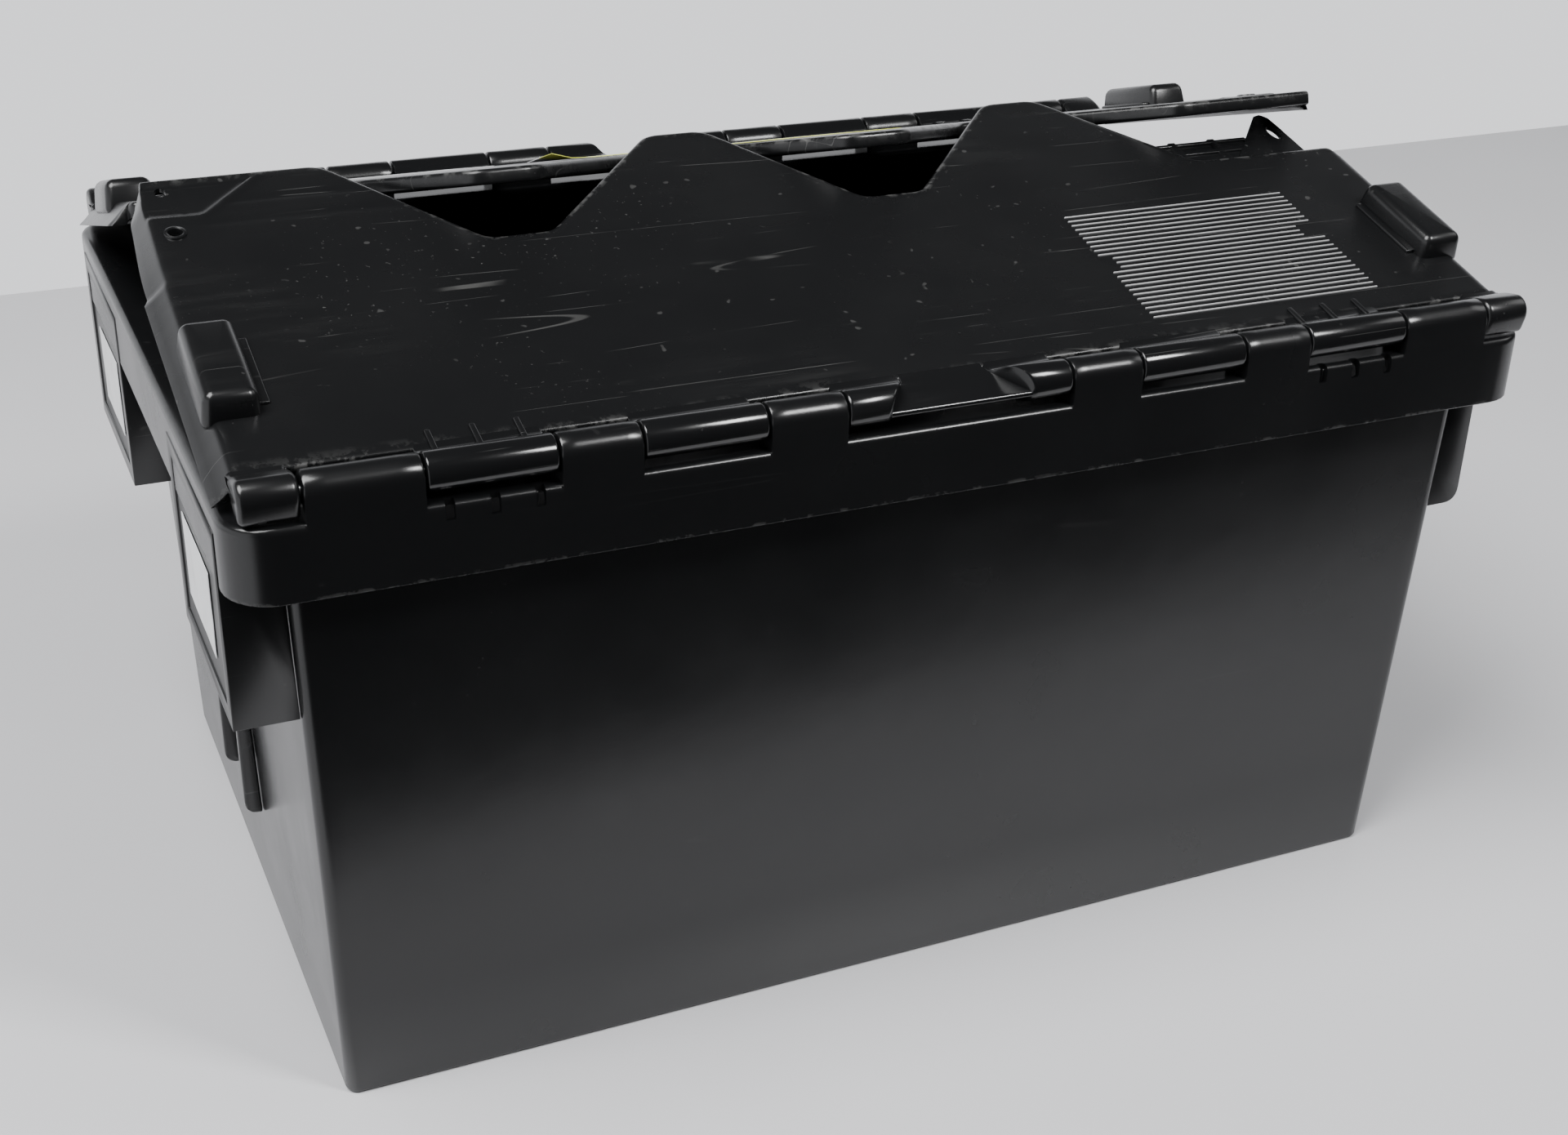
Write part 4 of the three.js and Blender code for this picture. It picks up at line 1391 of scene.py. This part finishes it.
    def underlap(self) -> tuple[Array, list]:
        """Ledges below the valleys and tabs below the tooth tips, which interlock when closed."""
        a, b, c, d, e = (share * self.half for share in self.zigzag)
        foot = -self.thick - self.lip
        parts = []
        root, half = self.root, self.half
        for reach, height in ((8.0, 6.5), (18.0, 7.5), (27.0, 6.0)):
            across = (root + reach - 1.2, root + reach + 1.2)
            parts.append(span_block((e - 6, half - 34), across, (foot - height, foot - 0.5), 0.7))
        parts.append(span_block((e - 8, half - 28), (root - 6, root + 29), (foot - 4.2, foot - 1.6), 1.0))
        for x in (e + 2, e + 26):
            parts.append(span_block((x, x + 5), (root - 5, root + 30), (foot - 9, foot - 0.6), 1.2))
        for ends in ((-d + 3, -c - 3), (a + 3, b - 3), (e + 3, half - 6)):
            parts.append(span_block(ends, (root - 4, root + 7.4), (foot - 2.6, foot - 0.4), 0.8))
            parts.append(span_block(ends, (root - 4.6, root - 1.4), (foot - 2.6, foot + 2), 0.6))
        return joined(parts)

    def seal_plate(self) -> tuple[Array, list]:
        """Triangular plate at the valley end with an oval hole, which meets the other lid's seal hole.

        Both the outline and the hole are closed loops at equal angles about the hole's middle, and the
        plate is the band between them, upper face, outer edge, lower face and the hole's own wall.
        """
        low, high = -self.thick - self.lip - 2.6, -self.thick - self.lip - 0.4
        corners = np.array(
            [(238, -10), (289, -10), (289, 16), (289, 32), (288, 44), (285, 48), (281, 47), (250, 12)]
        )
        corners = corners + (0.0, self.root)
        ends = np.roll(corners, -1, 0)
        share = np.linspace(0, 1, 40)[None, :, None]
        dense = corners[:, None] + (ends - corners)[:, None] * share
        middle = np.array([282.0, self.root + 29.0])
        arm = dense.reshape(-1, 2) - middle
        angle = np.arctan2(arm[:, 1], arm[:, 0])
        order = np.argsort(angle)
        turn = np.linspace(-math.pi, math.pi, 96, endpoint=False)
        reach = np.interp(turn, angle[order], np.linalg.norm(arm, axis=1)[order], period=2 * math.pi)
        outline = middle + circle(turn) * reach[:, None]
        inner = middle + circle(turn) * (reach[:, None] - 0.6)
        hole = middle + circle(turn, 2.2, 6.0)
        wide = middle + circle(turn, 2.8, 6.6)
        rings = ((inner, high), (outline, high - 0.6), (outline, low + 0.6), (inner, low), (wide, low),
                 (hole, low + 0.5), (hole, high - 0.5), (wide, high))
        loops = np.array([at_height(ring, level) for ring, level in rings])
        return loops.reshape(-1, 3), grid_faces(len(rings), len(turn), wrap_rows=True, wrap_columns=True)

    def under_ribs(self) -> tuple[Array, list]:
        """Stiffening ribs under the panel, along and across it."""
        end = self.half - 12
        along = [span_block((-end, end), (r - 0.9, r + 0.9), (-8.0, -2.6), 0.5) for r in (60.0, 105.0, 145.0)]
        across = [
            span_block((x - 0.9, x + 0.9), (24, 144), (-7.4, -2.6), 0.5) for x in np.linspace(-240, 240, 9)
        ]
        return joined(along + across)

    def build(self, finishes: Finishes) -> None:
        """Makes the lid's pieces and dresses them."""
        points, faces, wear_and_sheen = self.panel()
        panel = self.piece("panel", (points, faces), finishes.lid, wear_and_sheen, (self.label,))
        self.cut_holes(panel)
        for name, part, finish in (
            ("barrels", self.barrels(), finishes.barrel),
            ("middle_barrel", self.middle_barrel(), finishes.barrel),
            ("corner_caps", self.caps(), finishes.lid),
            ("stacking_blocks", self.bumps(), finishes.lid),
            ("small_ribs", self.small_ribs(), finishes.lid),
            ("grip_ribs", self.grip_ribs(), finishes.rib),
            ("seal_ring", self.seal_ring(), finishes.lid),
            ("underlap", self.underlap(), finishes.lid),
            ("seal_plate", self.seal_plate(), finishes.lid),
            ("under_ribs", self.under_ribs(), finishes.lid),
        ):
            self.piece(name, part, finish)


# ---------------------------------------------------------------- labels and rods
@dataclass
class Labels:
    """Blank paper labels: one on each left housing and a banded strip on the back lid."""

    thickness: float = 0.25
    strip: tuple = (190.0, 43.0)
    strip_start: float = 103.0

    def sheet(
        self, corner: tuple, along: tuple, up: tuple, out: tuple, lift: Array
    ) -> tuple[Array, list, Array]:
        """Thin closed sheet over a grid, lifted from its place by a given height at each point.

        Args:
            corner: One corner.
            along: Edge vector of the first direction.
            up: Edge vector of the second direction.
            out: Unit vector away from the surface it is stuck to.
            lift: Height of each grid point above the surface.

        Returns:
            Points, faces and a band value that runs 0 to 1 across the second direction.
        """
        rows, columns = lift.shape
        s = np.linspace(0, 1, rows)[:, None, None]
        t = np.linspace(0, 1, columns)[None, :, None]
        outward = np.array(out, dtype=float)
        face = np.array(corner) + s * along + t * up + outward * (lift[..., None] + self.thickness)
        back = face - outward * self.thickness
        count = rows * columns
        faces = grid_faces(rows, columns)
        faces += [[n + count for n in quad[::-1]] for quad in grid_faces(rows, columns)]
        number = np.arange(count).reshape(rows, columns)
        border = np.concatenate([number[0, :-1], number[:-1, -1], number[-1, :0:-1], number[:0:-1, 0]])
        following = np.roll(border, -1)
        faces += np.stack([border, following, following + count, border + count], -1).tolist()
        band = np.tile(np.broadcast_to(t[..., 0], (rows, columns)).reshape(-1), 2)
        return np.concatenate([face.reshape(-1, 3), back.reshape(-1, 3)]), faces, band

    def build(self, finishes: Finishes, lid: Lid) -> None:
        """Makes the three labels and dresses them.

        Args:
            finishes: The finishes.
            lid: The lid that carries the strip.
        """
        grid = np.linspace(0, 1, 20)
        for side, tilt in (("front", 1.5), ("back", -1.0)):
            node = f"end_label_{side}"
            low, high = (np.array(corner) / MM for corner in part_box(node))
            wave = 0.12 * np.sin(grid[:, None] * 5 + tilt) * np.sin(grid[None, :] * 4 + tilt)
            curl = 0.5 * smooth_step(grid[:, None] + grid[None, :], 1.7, 2.0)
            span = high - low
            lift = np.abs(wave) + curl * 0.2
            corner = (high[0] - 0.2, low[1], low[2])
            data = self.sheet(corner, (0, span[1], tilt), (0, 0, span[2]), (-1, 0, 0), lift)
            obj = mesh_object(f"label_{side}", *data)
            dress(obj, finishes.paper, "container", (node,))
        length, depth = self.strip
        rise = 0.1 * np.abs(np.sin(grid[:, None] * 7))
        rise = rise + 3.4 * smooth_step(grid[:, None], 0.93, 1.0) * grid[None, :]
        corner = (-length / 2, self.strip_start, self.thickness)
        points, faces, band = self.sheet(corner, (length, 0, 0), (0, depth, 0), (0, 0, 1), rise)
        obj = mesh_object("label_strip", lid.placed(points), faces, band)
        dress(obj, finishes.banded_paper, lid.label, ("lid_label",))


def dress_rods(frame: dict, finishes: Finishes) -> None:
    """Gives the hinge rods, which keep their CAD solids, their steel."""
    for name, node in frame["nodes"].items():
        if name.startswith("hinge_rod"):
            node.data.materials.clear()
            node.data.materials.append(finishes.steel)


# ---------------------------------------------------------------- studio
@dataclass(frozen=True)
class Studio:
    """Pale table, soft light from above and the camera."""

    azimuth: float = math.radians(24.68)
    elevation: float = math.radians(26.80)
    roll: float = math.radians(1.626)
    distance: float = 1.0671
    aim: tuple = (-0.0088, -0.0435, 0.15)
    lens: float = 48.39
    sensor: float = 36.0

    def camera(self) -> None:
        """Sets the camera from its angles: it looks along the azimuth, down by the elevation, rolled."""
        ahead = np.array([
            math.sin(self.azimuth) * math.cos(self.elevation),
            math.cos(self.azimuth) * math.cos(self.elevation),
            -math.sin(self.elevation),
        ])
        level = np.array([math.cos(self.azimuth), -math.sin(self.azimuth), 0.0])
        top = np.cross(level, ahead)
        right = level * math.cos(self.roll) + top * math.sin(self.roll)
        top = np.cross(right, ahead)
        data = bpy.data.cameras.new("camera")
        data.lens = self.lens
        data.sensor_width = self.sensor
        camera = linked("camera", data)
        place = np.array(self.aim) - ahead * self.distance
        matrix = np.eye(4)
        matrix[:3, 0], matrix[:3, 1], matrix[:3, 2], matrix[:3, 3] = right, top, -ahead, place
        camera.matrix_world = Matrix(matrix.tolist())
        bpy.context.scene.camera = camera

    def table(self) -> None:
        """Pale table, whose front edge lies a little in front of the object."""
        mesh = bpy.data.meshes.new("table")
        corners = [(-4.0, 0.36), (-0.107, -0.376), (0.544, -0.47), (4.0, -1.16), (4.0, 0.95), (-4.0, 0.95)]
        mesh.from_pydata([(x, y, 0.0) for x, y in corners], [], [list(range(len(corners)))])
        table = linked("table", mesh)
        material, kit, shader, place = new_material("table_white")
        colour = kit.mixed(kit.noise(place, 3, 3.0), (0.66, 0.66, 0.68), (0.6, 0.6, 0.62))
        kit.feed(shader, {"Base Color": colour, "Roughness": 0.35})
        mesh.materials.append(material)

    def world(self) -> None:
        """Soft room: pale near the horizon behind and to the left, dark overhead and in front."""
        world = bpy.data.worlds.new("room")
        bpy.context.scene.world = world
        world.use_nodes = True
        kit = NodeKit(world.node_tree)
        x, y, z = kit.node("SeparateXYZ", {0: kit.node("TexCoord").outputs["Generated"]}).outputs
        low = kit.minus(1.0, kit.step(z, 0.24, 0.56))
        behind = kit.step(kit.plus(y, kit.times(x, -0.75)), -0.35, 0.05)
        pale = kit.times(kit.times(low, behind), kit.step(z, -0.95, -0.6))
        strength = kit.plus(kit.times(pale, 1.3), 0.05)
        background = world.node_tree.nodes["Background"]
        kit.feed(background, {"Color": (0.96, 0.97, 1.0, 1), "Strength": strength})

    def light(self, name: str, place: tuple, aim: tuple, size: float, power: float) -> None:
        """Adds a square area light.

        Args:
            name: Name of the light.
            place: Where it stands, in metres.
            aim: Where it points.
            size: Side of the square.
            power: Watts.
        """
        data = bpy.data.lights.new(name, "AREA")
        data.size = size
        data.energy = power
        lamp = linked(name, data)
        lamp.location = place
        direction = Vector(aim) - Vector(place)
        lamp.rotation_euler = direction.to_track_quat("-Z", "Y").to_euler()

    def build(self) -> None:
        """Sets up the camera, the table, the room and the lights."""
        self.camera()
        self.table()
        self.world()
        self.light("overhead", (-1.3, -0.5, 2.6), (0, 0, 0.1), 1.6, 132)
        self.light("right_fill", (2.4, -0.5, 1.8), (0, 0, 0.2), 1.0, 8)
        self.light("hinge_line", (1.0, -1.5, 2.0), (0, -0.1, 0.3), 0.5, 48)


def main() -> None:
    """Builds the container, the lids, the labels and the studio in order."""
    logging.basicConfig(level=logging.INFO, format="%(message)s")
    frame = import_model()
    measures = Measures.of_frame(frame)
    hinge = HingeLine(measures)
    finishes = Finishes()
    Container(measures, hinge).build(finishes)
    EndFittings().build(finishes)
    for side in Side:
        Lid(measures, hinge, side).build(finishes)
    Labels().build(finishes, Lid(measures, hinge, Side.BACK))
    dress_rods(frame, finishes)
    Studio().build()


if __name__ == "__main__":
    main()
